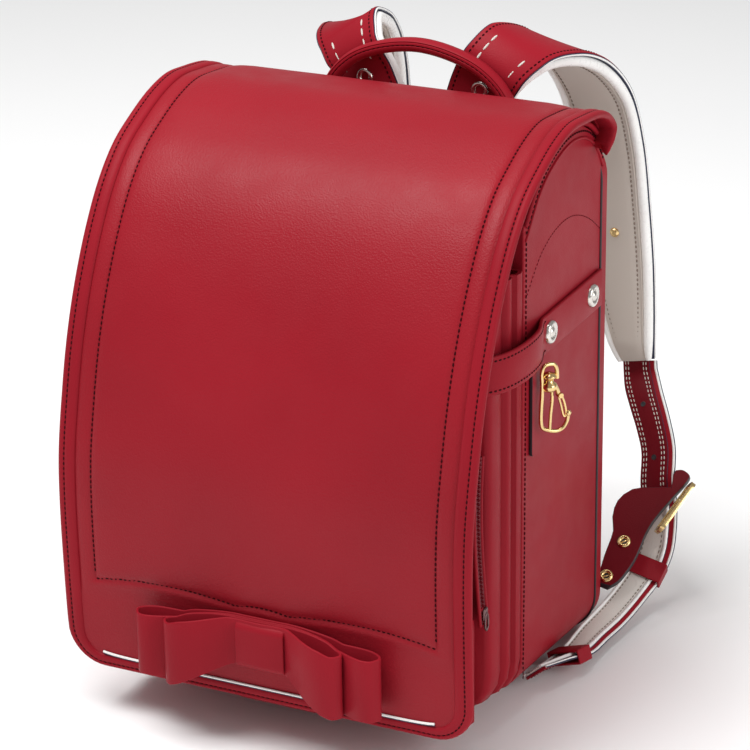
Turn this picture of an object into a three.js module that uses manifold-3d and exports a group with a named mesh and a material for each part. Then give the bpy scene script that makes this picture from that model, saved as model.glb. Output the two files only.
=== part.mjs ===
// School satchel of red leather with a long flap, a bow on the flap and two shoulder straps.
// Millimetres, +Z up. X runs across the bag, -Y is the flap's side, +Y the wearer's back.
// It is drawn with Z = 0 on the floor and Y = 0 on the back panel, and centred at the end.
import * as THREE from 'three';
import { mergeVertices } from 'three/addons/utils/BufferGeometryUtils.js';
import Module from 'manifold-3d';

const wasm = await Module();
wasm.setup();

// Driving dimensions
const GAP = 0.3;
const WALL = 2.4;
const BAG_WIDTH = 248;
const BACK_DEPTH = 11;
const MAIN_DEPTH = 119;
const SMALL_DEPTH = 42;
const POCKET_DEPTH = 46.5;
const CORNER_RADIUS = 28;
const BOTTOM_RISE = 0.09;
const BOTTOM_LIFT = 1;

const BACK_HEIGHT = 336;
const SIDE_HEIGHT = 355;
const SIDE_FRONT_HEIGHT = 315;
const SMALL_HEIGHT = 290;
const SMALL_WIDTH = 243;
const POCKET_HEIGHT = 203;
const POCKET_WIDTH = 236;
const PLEAT = 7;

const BACK_PAD_WIDTH = 206;
const BACK_PAD_BOTTOM = 24;
const BACK_PAD_MARGIN = 68;
const BACK_PAD_HEIGHT = BACK_HEIGHT - BACK_PAD_MARGIN;
const BACK_PAD_DEPTH = 12;
const BACK_PAD_RADIUS = 30;

const FLAP_WIDTH = 271;
const FLAP_ROOM = 11.6;
const FLAP_REACH = BACK_DEPTH + MAIN_DEPTH + SMALL_DEPTH + POCKET_DEPTH + 3 * GAP + FLAP_ROOM;
const FLAP_TOP = 365;
const FLAP_BOTTOM = 30;
const FLAP_CORNER = 25;
const FLAP_BINDING = 10;
const FLAP_HEM = 8;
const BINDING_THICKNESS = 6.6;
const FLAP_SINK = 1.9;
const FLAP_THICKNESS = 4;
const PANEL_WIDTH = 226;
const PANEL_SEAM = 60;
const PANEL_THICKNESS = 2;
const PANEL_HUMP = 4.5;
const PIPING_LENGTH = 222;
const PIPING_SIZE = 1.5;

const ZIP_WIDTH = 6;
const ZIP_LENGTH = 104;
const ZIP_BOTTOM = 86;
const ZIP_THICKNESS = 1.6;
const ZIP_SINK = 1.1;
const SLIDER_WIDTH = 8;
const SLIDER_LENGTH = 15;
const SLIDER_HEIGHT = 3.2;

const BOW_CENTRE = 73.6;
const KNOT_OFFSET = 4;
const KNOT_WIDTH = 32;
const KNOT_HEIGHT = 34;
const KNOT_WALL = 1.8;
const BOW_LEATHER = 1.6;
const BOW_PINCH = 4;
const BACK_LOOP_LENGTH = 79;
const BACK_LOOP_DEPTH = 16;
const BACK_LOOP_HEIGHT = 40;
const FRONT_LOOP_LENGTH = 57;
const FRONT_LOOP_DEPTH = 17;
const FRONT_LOOP_HEIGHT = 41;
const BOW_DROOP = 11;

const HANDLE_SPAN = 124;
const HANDLE_RISE = 40;
const HANDLE_DEPTH = 10;
const HANDLE_HEIGHT = 8.5;
const HANDLE_PLACE = -5.6;

const ANCHOR_WIDTH = 134;
const ANCHOR_HEIGHT = 42;
const ANCHOR_THICKNESS = 5;

const STRAP_SWING = 112;
const STRAP_WIDTH = 47;
const STRAP_EYELET = 0.085;
const STRAP_STUD = 0.765;
const STUD_SIDE = 1;
const STRAP_LEATHER = 2.4;
const STRAP_PADDING = 9;
const LOWER_WIDTH = 21;
const LOWER_LEATHER = 3.2;
const KEEPER_WIDTH = 14;
const KEEPER_WALL = 1.6;
const KEEPER_ROOM = 1.2;
const UPPER_KEEPER = 0.6;
const LOWER_KEEPER = 0.893;

const DARUMA_LENGTH = 95;
const DARUMA_WIDTH = 31.7;
const DARUMA_THICKNESS = 4;
const DARUMA_ROOT = { side: 1.5, y: 8.5, z: 33.5 };
const DARUMA_TIP = { side: 26, y: 68, z: 81.3 };
const DARUMA_ACROSS = { x: 0.93, y: -0.23, z: -0.28 };
const DARUMA_START = -8;
const LOW_EYELET = { across: 0.02, along: -0.018 };
const HIGH_EYELET = { across: -0.11, along: 0.255 };
const EYELET_RADIUS = 4.4;
const EYELET_HEIGHT = 1.6;
const BUCKLE_LENGTH = 40;
const BUCKLE_DEPTH = 16;
const BUCKLE_TURN = 28;
const BUCKLE_PLACE = 0.63;
const BUCKLE_EDGE = 0.245;
const BUCKLE_WIRE = 3;

const BELT_HEIGHT = 24;
const BELT_BOTTOM = 228;
const BELT_THICKNESS = 2.4;
const BELT_BULGE = 6.4;
const RIVET_RADIUS = 7.5;
const RIVET_HEIGHT = 3;
const RIVET_PLACES = [0.157, 0.712];

const TAB_WIDTH = 12;
const TAB_DROP = 59;
const TAB_BOTTOM = BELT_BOTTOM - TAB_DROP;
const TAB_HEIGHT = 58;
const TAB_THICKNESS = 2.2;
const TAB_PLACE = -115.5;
const HOOK_STAND_OFF = 8.1;
const HOOK_SIDE = 5;
const HOOK_RISE = 31.6;
const HOOK_TURN = 50;
const HOOK_WIRE = 3;
const GATE_WIRE = 2.2;

// The hook's and the gate's middle lines in the hook's own plane: across and up
const HOOK_FORM = [[10.6, -12.6], [11, -16.5], [8, -21.5], [1, -24], [-6, -22.5], [-8.8, -16], [-8.8, 0],
  [-8, 6], [-4, 9.6], [1, 9.4], [4.6, 7.4], [5.6, 4.6]];
const GATE_FORM = [[5.78, 4.1], [8, -4], [10.4, -11.9]];

const LOCK_WIDTH = 48;
const TONGUE_THICKNESS = 2.4;
const LOCK_DEPTH = 28;
const LOCK_PLACE = -128;

// Colours and finishes
const RED = { color: 0xa3202e, roughness: 0.5, metalness: 0 };
const DARK_RED = { color: 0x7c1420, roughness: 0.55, metalness: 0 };
const CREAM = { color: 0xece6df, roughness: 0.75, metalness: 0 };
const WHITE = { color: 0xf2f1ee, roughness: 0.5, metalness: 0 };
const GOLD = { color: 0xc9a45c, roughness: 0.28, metalness: 1 };
const SILVER = { color: 0xc8c6c0, roughness: 0.25, metalness: 1 };

// Places that follow from the dimensions
const HALF = BAG_WIDTH / 2;
const BACK_SEAM = -BACK_DEPTH - GAP;
const MAIN_FRONT = BACK_SEAM - MAIN_DEPTH;
const SMALL_BACK = MAIN_FRONT - GAP;
const SMALL_FRONT = SMALL_BACK - SMALL_DEPTH;
const POCKET_BACK = SMALL_FRONT - GAP;
const POCKET_FRONT = POCKET_BACK - POCKET_DEPTH;
const TALL = 600;

// The flap's outer line from its hinge over the top to its lower edge, as shares of its reach and rise
const FLAP_LINE = [
  { reach: 0.058, rise: 0.937 },
  { reach: 0.091, rise: 0.964 },
  { reach: 0.156, rise: 0.985 },
  { reach: 0.277, rise: 0.997 },
  { reach: 0.364, rise: 1.0 },
  { reach: 0.455, rise: 0.987 },
  { reach: 0.558, rise: 0.958 },
  { reach: 0.645, rise: 0.925 },
  { reach: 0.727, rise: 0.872 },
  { reach: 0.801, rise: 0.8 },
  { reach: 0.87, rise: 0.71 },
  { reach: 0.922, rise: 0.618 },
  { reach: 0.961, rise: 0.519 },
  { reach: 0.991, rise: 0.418 },
  { reach: 1.0, rise: 0.328 },
  { reach: 0.998, rise: 0.176 },
  { reach: 0.987, rise: 0.0 },
];
const HINGE_END = [{ reach: 0.052, rise: 0.912 }];
const HINGE_CURL = [
  { reach: 0.135, rise: 0.898 },
  { reach: 0.1, rise: 0.902 },
  { reach: 0.071, rise: 0.916 },
];

// The shoulder strap's route from its root over the crest and down behind the bag, right side:
// shares of half the bag's width, of the swing and of the back's height, then turns in degrees
const STRAP_ROUTE = [
  { x: 0.2702, y: 0.02679, z: 0.9702, width: 1, lean: 2, turn: 0 },
  { x: 0.3387, y: 0.025, z: 1.048, width: 1, lean: -8, turn: 0 },
  { x: 0.4032, y: 0.03571, z: 1.094, width: 1, lean: -14, turn: 0 },
  { x: 0.4637, y: 0.1518, z: 1.121, width: 1, lean: -18, turn: 4 },
  { x: 0.5242, y: 0.3929, z: 1.11, width: 1, lean: -17, turn: 6 },
  { x: 0.5766, y: 0.6518, z: 1.062, width: 1, lean: -13, turn: 6 },
  { x: 0.625, y: 0.8571, z: 0.9821, width: 1, lean: -8, turn: 5 },
  { x: 0.6613, y: 0.9598, z: 0.875, width: 1, lean: -3, turn: 3 },
  { x: 0.6935, y: 1, z: 0.744, width: 1, lean: 0, turn: 0 },
  { x: 0.7339, y: 1.013, z: 0.619, width: 0.94, lean: 3, turn: -2 },
  { x: 0.7823, y: 1.004, z: 0.5119, width: 0.78, lean: 6, turn: -4 },
  { x: 0.8347, y: 0.9821, z: 0.4256, width: 0.56, lean: 9, turn: -5 },
];
// How finely a route is cut to find one place on it
const SPOT_STEPS = 200;
// The left strap stands a little higher over its crest
const LEFT_LIFT = 0.003;
const LEFT_LEAN = -9;

// The narrow strap behind the buckle leather and its tail beside the bag's lower corner, as above
const LOWER_ROUTE = [
  { x: 0.8367, y: 0.9808, z: 0.4232, width: 1, lean: 9, turn: -5 },
  { x: 0.8565, y: 0.9634, z: 0.3994, width: 1, lean: 9, turn: -5 },
  { x: 0.9323, y: 0.8661, z: 0.3705, width: 1, lean: 9, turn: -5 },
  { x: 1.015, y: 0.75, z: 0.3271, width: 1, lean: 8, turn: -8 },
  { x: 1.056, y: 0.6696, z: 0.2872, width: 1, lean: 7, turn: -8 },
  { x: 1.085, y: 0.5804, z: 0.2321, width: 1, lean: 6, turn: -8 },
  { x: 1.117, y: 0.5268, z: 0.1964, width: 1, lean: 4, turn: -6 },
  { x: 1.133, y: 0.4821, z: 0.1607, width: 1, lean: 0, turn: -5 },
  { x: 1.137, y: 0.4286, z: 0.119, width: 1, lean: -6, turn: -5 },
  { x: 1.125, y: 0.3393, z: 0.08631, width: 1, lean: -13, turn: 0 },
  { x: 1.101, y: 0.1964, z: 0.0625, width: 1, lean: -18, turn: 8 },
  { x: 1.077, y: -0.02679, z: 0.04613, width: 1, lean: -14, turn: 14 },
  { x: 1.047, y: -0.25, z: 0.03661, width: 1, lean: -4, turn: 15 },
  { x: 1.034, y: -0.4643, z: 0.03214, width: 1, lean: 8, turn: 15 },
  { x: 0.9984, y: -0.6786, z: 0.03929, width: 1, lean: 26, turn: 14 },
  { x: 0.9556, y: -0.875, z: 0.04464, width: 1, lean: 38, turn: 12 },
];

// The handle's middle line from its right end up to its top, as shares of half its span and its rise
const HANDLE_LINE = [
  { out: 1, rise: 0 },
  { out: 0.985, rise: 0.17 },
  { out: 0.88, rise: 0.46 },
  { out: 0.6, rise: 0.79 },
  { out: 0, rise: 1 },
];

// The cinch belt's inner line along the side and over the front, as shares of its bulge and the bag
const BELT_FLANK = [
  { along: 0.016, out: 0 },
  { along: 0.3, out: 0 },
  { along: 0.55, out: 0 },
  { along: 0.59, out: 0.02 },
  { along: 0.63, out: 0.36 },
  { along: 0.69, out: 0.82 },
  { along: 0.785, out: 1 },
  { along: 0.897, out: 0.72 },
  { along: 0.971, out: 0.1 },
];
const BELT_FACE = [
  { across: 0.946, out: 0.62 },
  { across: 0.84, out: 0.14 },
  { across: 0.68, out: 0.02 },
  { across: 0, out: 0 },
];

// The buckle leather's outline, as shares of its greatest width and its length
const DARUMA_LEFT = [
  { across: 0.01, along: 0.0 },
  { across: -0.03, along: 0.164 },
  { across: -0.085, along: 0.261 },
  { across: -0.13, along: 0.341 },
  { across: -0.34, along: 0.441 },
  { across: -0.476, along: 0.539 },
  { across: -0.5, along: 0.634 },
  { across: -0.454, along: 0.72 },
];
const DARUMA_NOTCH = [
  { across: -0.3, along: 0.735 },
  { across: 0.28, along: 0.83 },
  { across: 0.3, along: 0.916 },
  { across: 0.233, along: 0.984 },
  { across: 0.344, along: 1.0 },
  { across: 0.44, along: 0.974 },
];
const DARUMA_RIGHT = [
  { across: 0.5, along: 0.905 },
  { across: 0.498, along: 0.758 },
  { across: 0.495, along: 0.516 },
  { across: 0.505, along: 0.25 },
  { across: 0.56, along: 0.155 },
  { across: 0.54, along: 0.07 },
  { across: 0.448, along: 0.0 },
];

// Bow loops seen from above, as shares of their length and depth: front wall and back wall
const BACK_LOOP = [
  { along: 0, front: 0, back: 0 },
  { along: 0.235, front: 0, back: 0 },
  { along: 0.45, front: 0.04, back: 0 },
  { along: 0.66, front: 0.14, back: 0 },
  { along: 0.75, front: 0.5, back: 0 },
  { along: 0.84, front: 0.9, back: 0 },
  { along: 0.93, front: 1, back: 0.08 },
  { along: 0.98, front: 0.85, back: 0.25 },
  { along: 1, front: 0.6, back: 0.5 },
];
const FRONT_LOOP = [
  { along: 0, front: 0, back: 0 },
  { along: 0.325, front: 0, back: 0 },
  { along: 0.5, front: 0.4, back: 0.02 },
  { along: 0.66, front: 0.85, back: 0.08 },
  { along: 0.8, front: 1, back: 0.2 },
  { along: 0.92, front: 0.95, back: 0.36 },
  { along: 1, front: 0.75, back: 0.6 },
];

// A closed geometry with shared corners, ready for the solid operations
function closed(geometry) {
  const bare = geometry.index ? geometry.toNonIndexed() : geometry.clone();
  bare.deleteAttribute('normal');
  bare.deleteAttribute('uv');
  return mergeVertices(bare, 1e-4);
}

function solidOf(geometry) {
  const merged = closed(geometry);
  const mesh = new wasm.Mesh({
    numProp: 3,
    vertProperties: new Float32Array(merged.attributes.position.array),
    triVerts: new Uint32Array(merged.index.array),
  });
  mesh.merge();
  return new wasm.Manifold(mesh);
}

function geometryOf(solid) {
  const mesh = solid.getMesh();
  const geometry = new THREE.BufferGeometry();
  geometry.setAttribute('position', new THREE.BufferAttribute(new Float32Array(mesh.vertProperties), 3));
  geometry.setIndex(new THREE.BufferAttribute(new Uint32Array(mesh.triVerts), 1));
  return geometry;
}

function shapeOf(points) {
  return new THREE.Shape(points.map(([a, b]) => new THREE.Vector2(a, b)));
}

function prism(shape, depth, curveSegments = 6) {
  return new THREE.ExtrudeGeometry(shape, { depth, bevelEnabled: false, curveSegments });
}

// A prism along X from an outline in Y and Z, centred on x
function alongX(shape, width, x = 0) {
  const geometry = prism(shape, width);
  const axes = new THREE.Matrix4().makeBasis(
    new THREE.Vector3(0, 1, 0), new THREE.Vector3(0, 0, 1), new THREE.Vector3(1, 0, 0));
  return geometry.applyMatrix4(axes).translate(x - width / 2, 0, 0);
}

// A prism along Y from an outline in X and Z
function alongY(shape, front, back) {
  const geometry = prism(shape, back - front);
  const axes = new THREE.Matrix4().makeBasis(
    new THREE.Vector3(1, 0, 0), new THREE.Vector3(0, 0, 1), new THREE.Vector3(0, -1, 0));
  return geometry.applyMatrix4(axes).translate(0, back, 0);
}

// A prism along Z from an outline in X and Y
function alongZ(shape, bottom, top) {
  return prism(shape, top - bottom).translate(0, 0, bottom);
}

// The same surface with every face turned the other way
function turned(geometry) {
  const other = closed(geometry);
  const corners = other.index.array;
  for (let i = 0; i < corners.length; i += 3) {
    [corners[i + 1], corners[i + 2]] = [corners[i + 2], corners[i + 1]];
  }
  return other;
}

// The mirror image across the bag's middle plane
function mirrored(geometry) {
  return turned(geometry).scale(-1, 1, 1);
}

// An upright outline with round lower corners and, if asked, round upper ones
function uprightShape(width, bottom, top, lowerRadius, upperRadius = 0) {
  const half = width / 2;
  const shape = new THREE.Shape();
  shape.moveTo(-half + lowerRadius, bottom);
  shape.lineTo(half - lowerRadius, bottom);
  shape.absarc(half - lowerRadius, bottom + lowerRadius, lowerRadius, -Math.PI / 2, 0);
  shape.lineTo(half, top - upperRadius);
  if (upperRadius > 0) shape.absarc(half - upperRadius, top - upperRadius, upperRadius, 0, Math.PI / 2);
  shape.lineTo(-half + upperRadius, top);
  if (upperRadius > 0) {
    shape.absarc(upperRadius - half, top - upperRadius, upperRadius, Math.PI / 2, Math.PI);
  }
  shape.lineTo(-half, bottom + lowerRadius);
  shape.absarc(-half + lowerRadius, bottom + lowerRadius, lowerRadius, Math.PI, Math.PI * 1.5);
  return shape;
}

// The bag's underside at one depth: it rises towards the flap
function underside(y) {
  return BOTTOM_LIFT + BOTTOM_RISE * (BACK_SEAM - y);
}

// A compartment's outer form: the upright outline run forward and sheared along the underside
function leanPrism(width, front, back, radius, inset = 0) {
  const shape = uprightShape(width - 2 * inset, inset, TALL, Math.max(radius - inset, 1));
  const lift = underside(0);
  const shear = new THREE.Matrix4().set(1, 0, 0, 0, 0, 1, 0, 0, 0, -BOTTOM_RISE, 1, lift, 0, 0, 0, 1);
  return alongY(shape, front, back).applyMatrix4(shear);
}

// The main compartment: open at the top, its sides rising in an arc under the flap
function mainBody() {
  const depth = BACK_SEAM - MAIN_FRONT;
  const rows = [
    { depth: 0, height: BACK_HEIGHT - 12 },
    { depth: 0.06, height: BACK_HEIGHT - 1 },
    { depth: 0.14, height: SIDE_HEIGHT - 11 },
    { depth: 0.26, height: SIDE_HEIGHT - 3.5 },
    { depth: 0.42, height: SIDE_HEIGHT },
    { depth: 0.6, height: SIDE_HEIGHT - 3.5 },
    { depth: 0.8, height: SIDE_HEIGHT - 15 },
    { depth: 1, height: SIDE_FRONT_HEIGHT },
  ];
  const top = rows.map((row) => [BACK_SEAM - row.depth * depth, row.height]);
  const side = shapeOf([[BACK_SEAM, -TALL], ...top, [MAIN_FRONT, -TALL]].reverse());
  const outer = solidOf(leanPrism(BAG_WIDTH, MAIN_FRONT, BACK_SEAM, CORNER_RADIUS));
  const inner = solidOf(leanPrism(BAG_WIDTH, MAIN_FRONT + WALL, BACK_SEAM - WALL, CORNER_RADIUS, WALL));
  const trim = solidOf(alongX(side, BAG_WIDTH + 20));
  return geometryOf(outer.subtract(inner).intersect(trim));
}

function backPanel() {
  return alongY(uprightShape(BAG_WIDTH, 0, BACK_HEIGHT, CORNER_RADIUS, CORNER_RADIUS), -BACK_DEPTH, 0);
}

function backPad() {
  const shape = uprightShape(BACK_PAD_WIDTH, BACK_PAD_BOTTOM, BACK_PAD_BOTTOM + BACK_PAD_HEIGHT,
    BACK_PAD_RADIUS, BACK_PAD_RADIUS);
  return alongY(shape, GAP, GAP + BACK_PAD_DEPTH);
}

// Plan outline of a compartment in front: pleated in at its back, full at its front
function pleatedPlan(width, front, back, inset) {
  const half = width / 2 - inset;
  const depth = back - front;
  const side = [
    { depth: 0, out: -PLEAT },
    { depth: 0.12, out: -PLEAT * 0.8 },
    { depth: 0.22, out: -1.5 },
    { depth: 0.55, out: -2.5 },
    { depth: 0.85, out: -0.5 },
    { depth: 0.93, out: 0 },
    { depth: 1, out: -3 },
  ];
  const place = (row) => back - inset - row.depth * (depth - 2 * inset);
  const right = side.map((row) => [half + row.out, place(row)]);
  const left = side.map((row) => [-half - row.out, place(row)]).reverse();
  return shapeOf([...right, ...left].reverse());
}

function smallCompartment() {
  const form = solidOf(leanPrism(SMALL_WIDTH, SMALL_FRONT - 1, SMALL_BACK + 1, CORNER_RADIUS / 2));
  const hollow = solidOf(leanPrism(SMALL_WIDTH, SMALL_FRONT - 1, SMALL_BACK + 1, CORNER_RADIUS / 2, WALL));
  const plan = solidOf(alongZ(pleatedPlan(SMALL_WIDTH, SMALL_FRONT, SMALL_BACK, 0), 0, SMALL_HEIGHT));
  const room = solidOf(alongZ(pleatedPlan(SMALL_WIDTH, SMALL_FRONT, SMALL_BACK, WALL), 0, TALL));
  return geometryOf(plan.intersect(form).subtract(room.intersect(hollow)));
}

// The zipped pocket: hollow, with the zip's slit in its right side
function frontPocket() {
  const lift = POCKET_FRONT - POCKET_BACK;
  const base = underside(POCKET_BACK) + 4;
  const outline = (inset) => {
    const front = POCKET_FRONT + inset;
    const back = POCKET_BACK - inset;
    const bottom = base + inset;
    const top = POCKET_HEIGHT - inset;
    return shapeOf([
      [back, bottom],
      [back, top],
      [POCKET_BACK + lift * 0.35, top - 0.5],
      [POCKET_BACK + lift * 0.75, top - 7],
      [front, top - 22],
      [front, bottom + 24],
      [front + 5, bottom + 11],
      [front + 16, bottom + 3],
    ]);
  };
  const plan = solidOf(alongZ(pleatedPlan(POCKET_WIDTH, POCKET_FRONT, POCKET_BACK, 0), 0, TALL));
  const room = solidOf(alongZ(pleatedPlan(POCKET_WIDTH, POCKET_FRONT, POCKET_BACK, WALL), 0, TALL));
  const outer = solidOf(alongX(outline(0), POCKET_WIDTH + 10)).intersect(plan);
  const inner = solidOf(alongX(outline(WALL), POCKET_WIDTH + 10)).intersect(room);
  const slit = new THREE.BoxGeometry(20, ZIP_WIDTH - 1, ZIP_LENGTH - 6);
  slit.translate(POCKET_WIDTH / 2, zipPlace(), ZIP_BOTTOM + ZIP_LENGTH / 2);
  return geometryOf(outer.subtract(inner).subtract(solidOf(slit)));
}

function zipPlace() {
  return POCKET_BACK - POCKET_DEPTH * 0.22;
}

function pocketZipper() {
  const zipper = new THREE.BoxGeometry(ZIP_THICKNESS, ZIP_WIDTH + 4, ZIP_LENGTH);
  const side = POCKET_WIDTH / 2 - ZIP_SINK + ZIP_THICKNESS / 2;
  return zipper.translate(side, zipPlace(), ZIP_BOTTOM + ZIP_LENGTH / 2);
}

function zipSlider() {
  const shape = uprightShape(SLIDER_WIDTH, 0, SLIDER_LENGTH, 1.5, 1.5);
  const slider = alongY(shape, 0, SLIDER_HEIGHT);
  slider.rotateZ(-Math.PI / 2);
  return slider.translate(POCKET_WIDTH / 2 - 1.1 + ZIP_THICKNESS + GAP, zipPlace(), ZIP_BOTTOM + 1);
}

// The flap's outer line, with as many points between two rows as asked
function flapLine(rows, share) {
  const rise = FLAP_TOP - FLAP_BOTTOM;
  const corners = rows.map((row) => new THREE.Vector3(
    -row.reach * FLAP_REACH, FLAP_BOTTOM + row.rise * rise, 0));
  return new THREE.CatmullRomCurve3(corners, false, 'centripetal').getPoints((rows.length - 1) * share);
}

// A leather layer that follows the flap's line between two depths under it
function flapLayer(rows, top, bottom, width) {
  const line = flapLine(rows, 3);
  const shifted = (offset) => line.map((point, i) => {
    const before = line[Math.max(i - 1, 0)];
    const after = line[Math.min(i + 1, line.length - 1)];
    const run = after.clone().sub(before).normalize();
    return [point.x - run.y * offset, point.y + run.x * offset];
  });
  return solidOf(alongX(shapeOf([...shifted(bottom), ...shifted(top).reverse()]), width));
}

function flapMask(side, hem, radius) {
  return solidOf(alongY(uprightShape(FLAP_WIDTH - 2 * side, FLAP_BOTTOM + hem, TALL, radius), -TALL, TALL));
}

function flapSheet() {
  const sheet = flapLayer([...HINGE_END, ...FLAP_LINE], FLAP_SINK, FLAP_SINK + FLAP_THICKNESS, FLAP_WIDTH);
  const inside = flapMask(FLAP_BINDING + GAP, FLAP_HEM + GAP, FLAP_CORNER - FLAP_BINDING);
  return geometryOf(sheet.intersect(inside));
}

function flapBinding() {
  const band = flapLayer([...HINGE_CURL, ...FLAP_LINE], 0, BINDING_THICKNESS, FLAP_WIDTH);
  const outside = flapMask(0, 0, FLAP_CORNER);
  const inside = flapMask(FLAP_BINDING, FLAP_HEM, FLAP_CORNER - FLAP_BINDING);
  return geometryOf(band.intersect(outside).subtract(inside));
}

// The padded panel ends below in a seam of two wide humps and a small one between them
function flapPanel() {
  const half = PANEL_WIDTH / 2;
  const seam = FLAP_BOTTOM + PANEL_SEAM;
  const shape = new THREE.Shape();
  const cusp = 0.15 * half;
  shape.moveTo(-half, TALL);
  shape.lineTo(-half, seam);
  shape.quadraticCurveTo(-(half + cusp) / 2, seam + 2 * PANEL_HUMP, -cusp, seam + 1);
  shape.quadraticCurveTo(0, seam + 5, cusp, seam + 1);
  shape.quadraticCurveTo((half + cusp) / 2, seam + 2 * PANEL_HUMP, half, seam);
  shape.lineTo(half, TALL);
  const mask = solidOf(alongY(shape, -TALL, TALL));
  const top = FLAP_SINK - GAP - PANEL_THICKNESS;
  const layer = flapLayer([...HINGE_END, ...FLAP_LINE], top, FLAP_SINK - GAP, PANEL_WIDTH);
  return geometryOf(layer.intersect(mask));
}

// The flap's outer face at one height near its lower edge
function flapFace(height) {
  const line = flapLine(FLAP_LINE, 40);
  const near = line.reduce((best, point) => (point.x < -FLAP_REACH * 0.8
    && Math.abs(point.y - height) < Math.abs(best.y - height) ? point : best), line[line.length - 1]);
  return near.x;
}

function bottomPiping() {
  const height = FLAP_BOTTOM + FLAP_HEM + 2 * GAP + PIPING_SIZE / 2;
  const piping = new THREE.BoxGeometry(PIPING_LENGTH, PIPING_SIZE, PIPING_SIZE);
  return piping.translate(0, flapFace(height) + FLAP_SINK - GAP - PIPING_SIZE / 2, height);
}

// One bow loop: a leather band bent round, standing on edge, to the right of the knot
function loopSolid(rows, length, depth, height) {
  const outline = (inset) => {
    const reach = (row) => row.along * (length - inset) + (inset > 0 ? 1 : -1) * (1 - row.along);
    const bulge = depth - BOW_PINCH;
    const front = rows.map((row) => new THREE.Vector2(reach(row), -BOW_PINCH + inset - row.front * bulge));
    const back = rows.map((row) => new THREE.Vector2(reach(row), -inset - row.back * bulge));
    return [...front, ...back.reverse()];
  };
  const shape = new THREE.Shape(outline(0));
  shape.holes.push(new THREE.Path(outline(BOW_LEATHER)));
  return alongZ(shape, -height / 2, height / 2);
}

// A pair of loops, drooping and opening in height away from the knot
function loopPair(rows, length, depth, height, place) {
  const held = KNOT_WIDTH / 2 + KNOT_OFFSET / 2 + GAP;
  const neck = (KNOT_HEIGHT - 2 * KNOT_WALL - 3 * GAP) / height;
  const bend = (geometry) => {
    const position = geometry.attributes.position;
    for (let i = 0; i < position.count; i += 1) {
      const along = Math.max(Math.abs(position.getX(i)) - held, 0) / (FRONT_LOOP_LENGTH - held);
      const share = neck + (1 - neck) * Math.min(along * 1.4, 1);
      position.setZ(i, position.getZ(i) * share - BOW_DROOP * Math.min(along, 1) ** 1.3);
    }
    return geometry;
  };
  const loop = bend(loopSolid(rows, length, depth, height));
  const room = KNOT_HEIGHT / 2 - KNOT_WALL - GAP;
  const above = new THREE.BoxGeometry(2 * held, TALL, height).translate(0, 0, room + height / 2);
  const below = above.clone().translate(0, 0, -2 * room - height);
  const both = solidOf(loop).add(solidOf(mirrored(loop))).subtract(solidOf(above)).subtract(solidOf(below));
  return geometryOf(both).translate(KNOT_OFFSET / 2, bowFace() - place, BOW_CENTRE);
}

function bowFace() {
  return flapFace(BOW_CENTRE + KNOT_HEIGHT / 2) + FLAP_SINK - GAP;
}

function backLoops() {
  return loopPair(BACK_LOOP, BACK_LOOP_LENGTH, BACK_LOOP_DEPTH, BACK_LOOP_HEIGHT, KNOT_WALL + GAP);
}

function frontLoops() {
  const place = KNOT_WALL + 2 * GAP + BOW_PINCH;
  return loopPair(FRONT_LOOP, FRONT_LOOP_LENGTH, FRONT_LOOP_DEPTH, FRONT_LOOP_HEIGHT, place);
}

// The knot: a leather band closed round the two pairs of loops
function bowKnot() {
  const back = bowFace();
  const front = back - 2 * KNOT_WALL - 2 * BOW_PINCH - 3 * GAP;
  const low = BOW_CENTRE - KNOT_HEIGHT / 2;
  const high = BOW_CENTRE + KNOT_HEIGHT / 2;
  const shape = shapeOf([[back, low], [back, high], [front + 3, high], [front, high - 3], [front, low + 3],
    [front + 3, low]]);
  const wall = KNOT_WALL;
  const hole = [[back - wall, low + wall], [back - wall, high - wall], [front + wall, high - wall],
    [front + wall, low + wall]];
  shape.holes.push(new THREE.Path(hole.map(([a, b]) => new THREE.Vector2(a, b))));
  return alongX(shape, KNOT_WIDTH, KNOT_OFFSET);
}

function handle() {
  const half = HANDLE_SPAN / 2;
  const base = BACK_HEIGHT + 3 * GAP;
  const side = HANDLE_LINE.map((row) => new THREE.Vector3(half * row.out, 0, base + HANDLE_RISE * row.rise));
  const other = side.slice(0, -1).reverse().map((point) => point.clone().setX(-point.x));
  const route = new THREE.CatmullRomCurve3([...side, ...other]);
  const rows = route.getPoints(24).map((point) => ({ point, across: new THREE.Vector3(0, 1, 0) }));
  return sweep(rows.map((row) => ({ ...row, width: HANDLE_DEPTH })), -HANDLE_HEIGHT / 2, HANDLE_HEIGHT / 2, 4)
    .translate(0, HANDLE_PLACE, 0);
}

// A flat band swept along points with a width direction each, between two levels off them.
// Two bands whose first level is the shared one lie on each other without crossing.
// With several columns its edges thin out.
function sweep(rows, low, high, columns = 1) {
  const steps = rows.length - 1;
  const geometry = new THREE.BoxGeometry(1, 1, 1, columns, 1, steps);
  const position = geometry.attributes.position;
  const spot = new THREE.Vector3();
  for (let i = 0; i < position.count; i += 1) {
    const index = Math.round((0.5 - position.getZ(i)) * steps);
    const row = rows[index];
    const before = rows[Math.max(index - 1, 0)].point;
    const after = rows[Math.min(index + 1, steps)].point;
    const run = after.clone().sub(before).normalize();
    const across = row.across.clone().addScaledVector(run, -row.across.dot(run)).normalize();
    const out = across.clone().cross(run);
    const side = position.getX(i);
    const thin = columns > 1 ? 1 - 0.45 * Math.abs(2 * side) ** 4 : 1;
    const level = position.getY(i) > 0 ? high : low;
    spot.copy(row.point).addScaledVector(across, side * row.width);
    spot.addScaledVector(out, columns > 1 && low < 0 && high > 0 ? level * thin : level);
    position.setXYZ(i, spot.x, spot.y, spot.z);
  }
  return high < low ? turned(geometry) : geometry;
}

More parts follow.
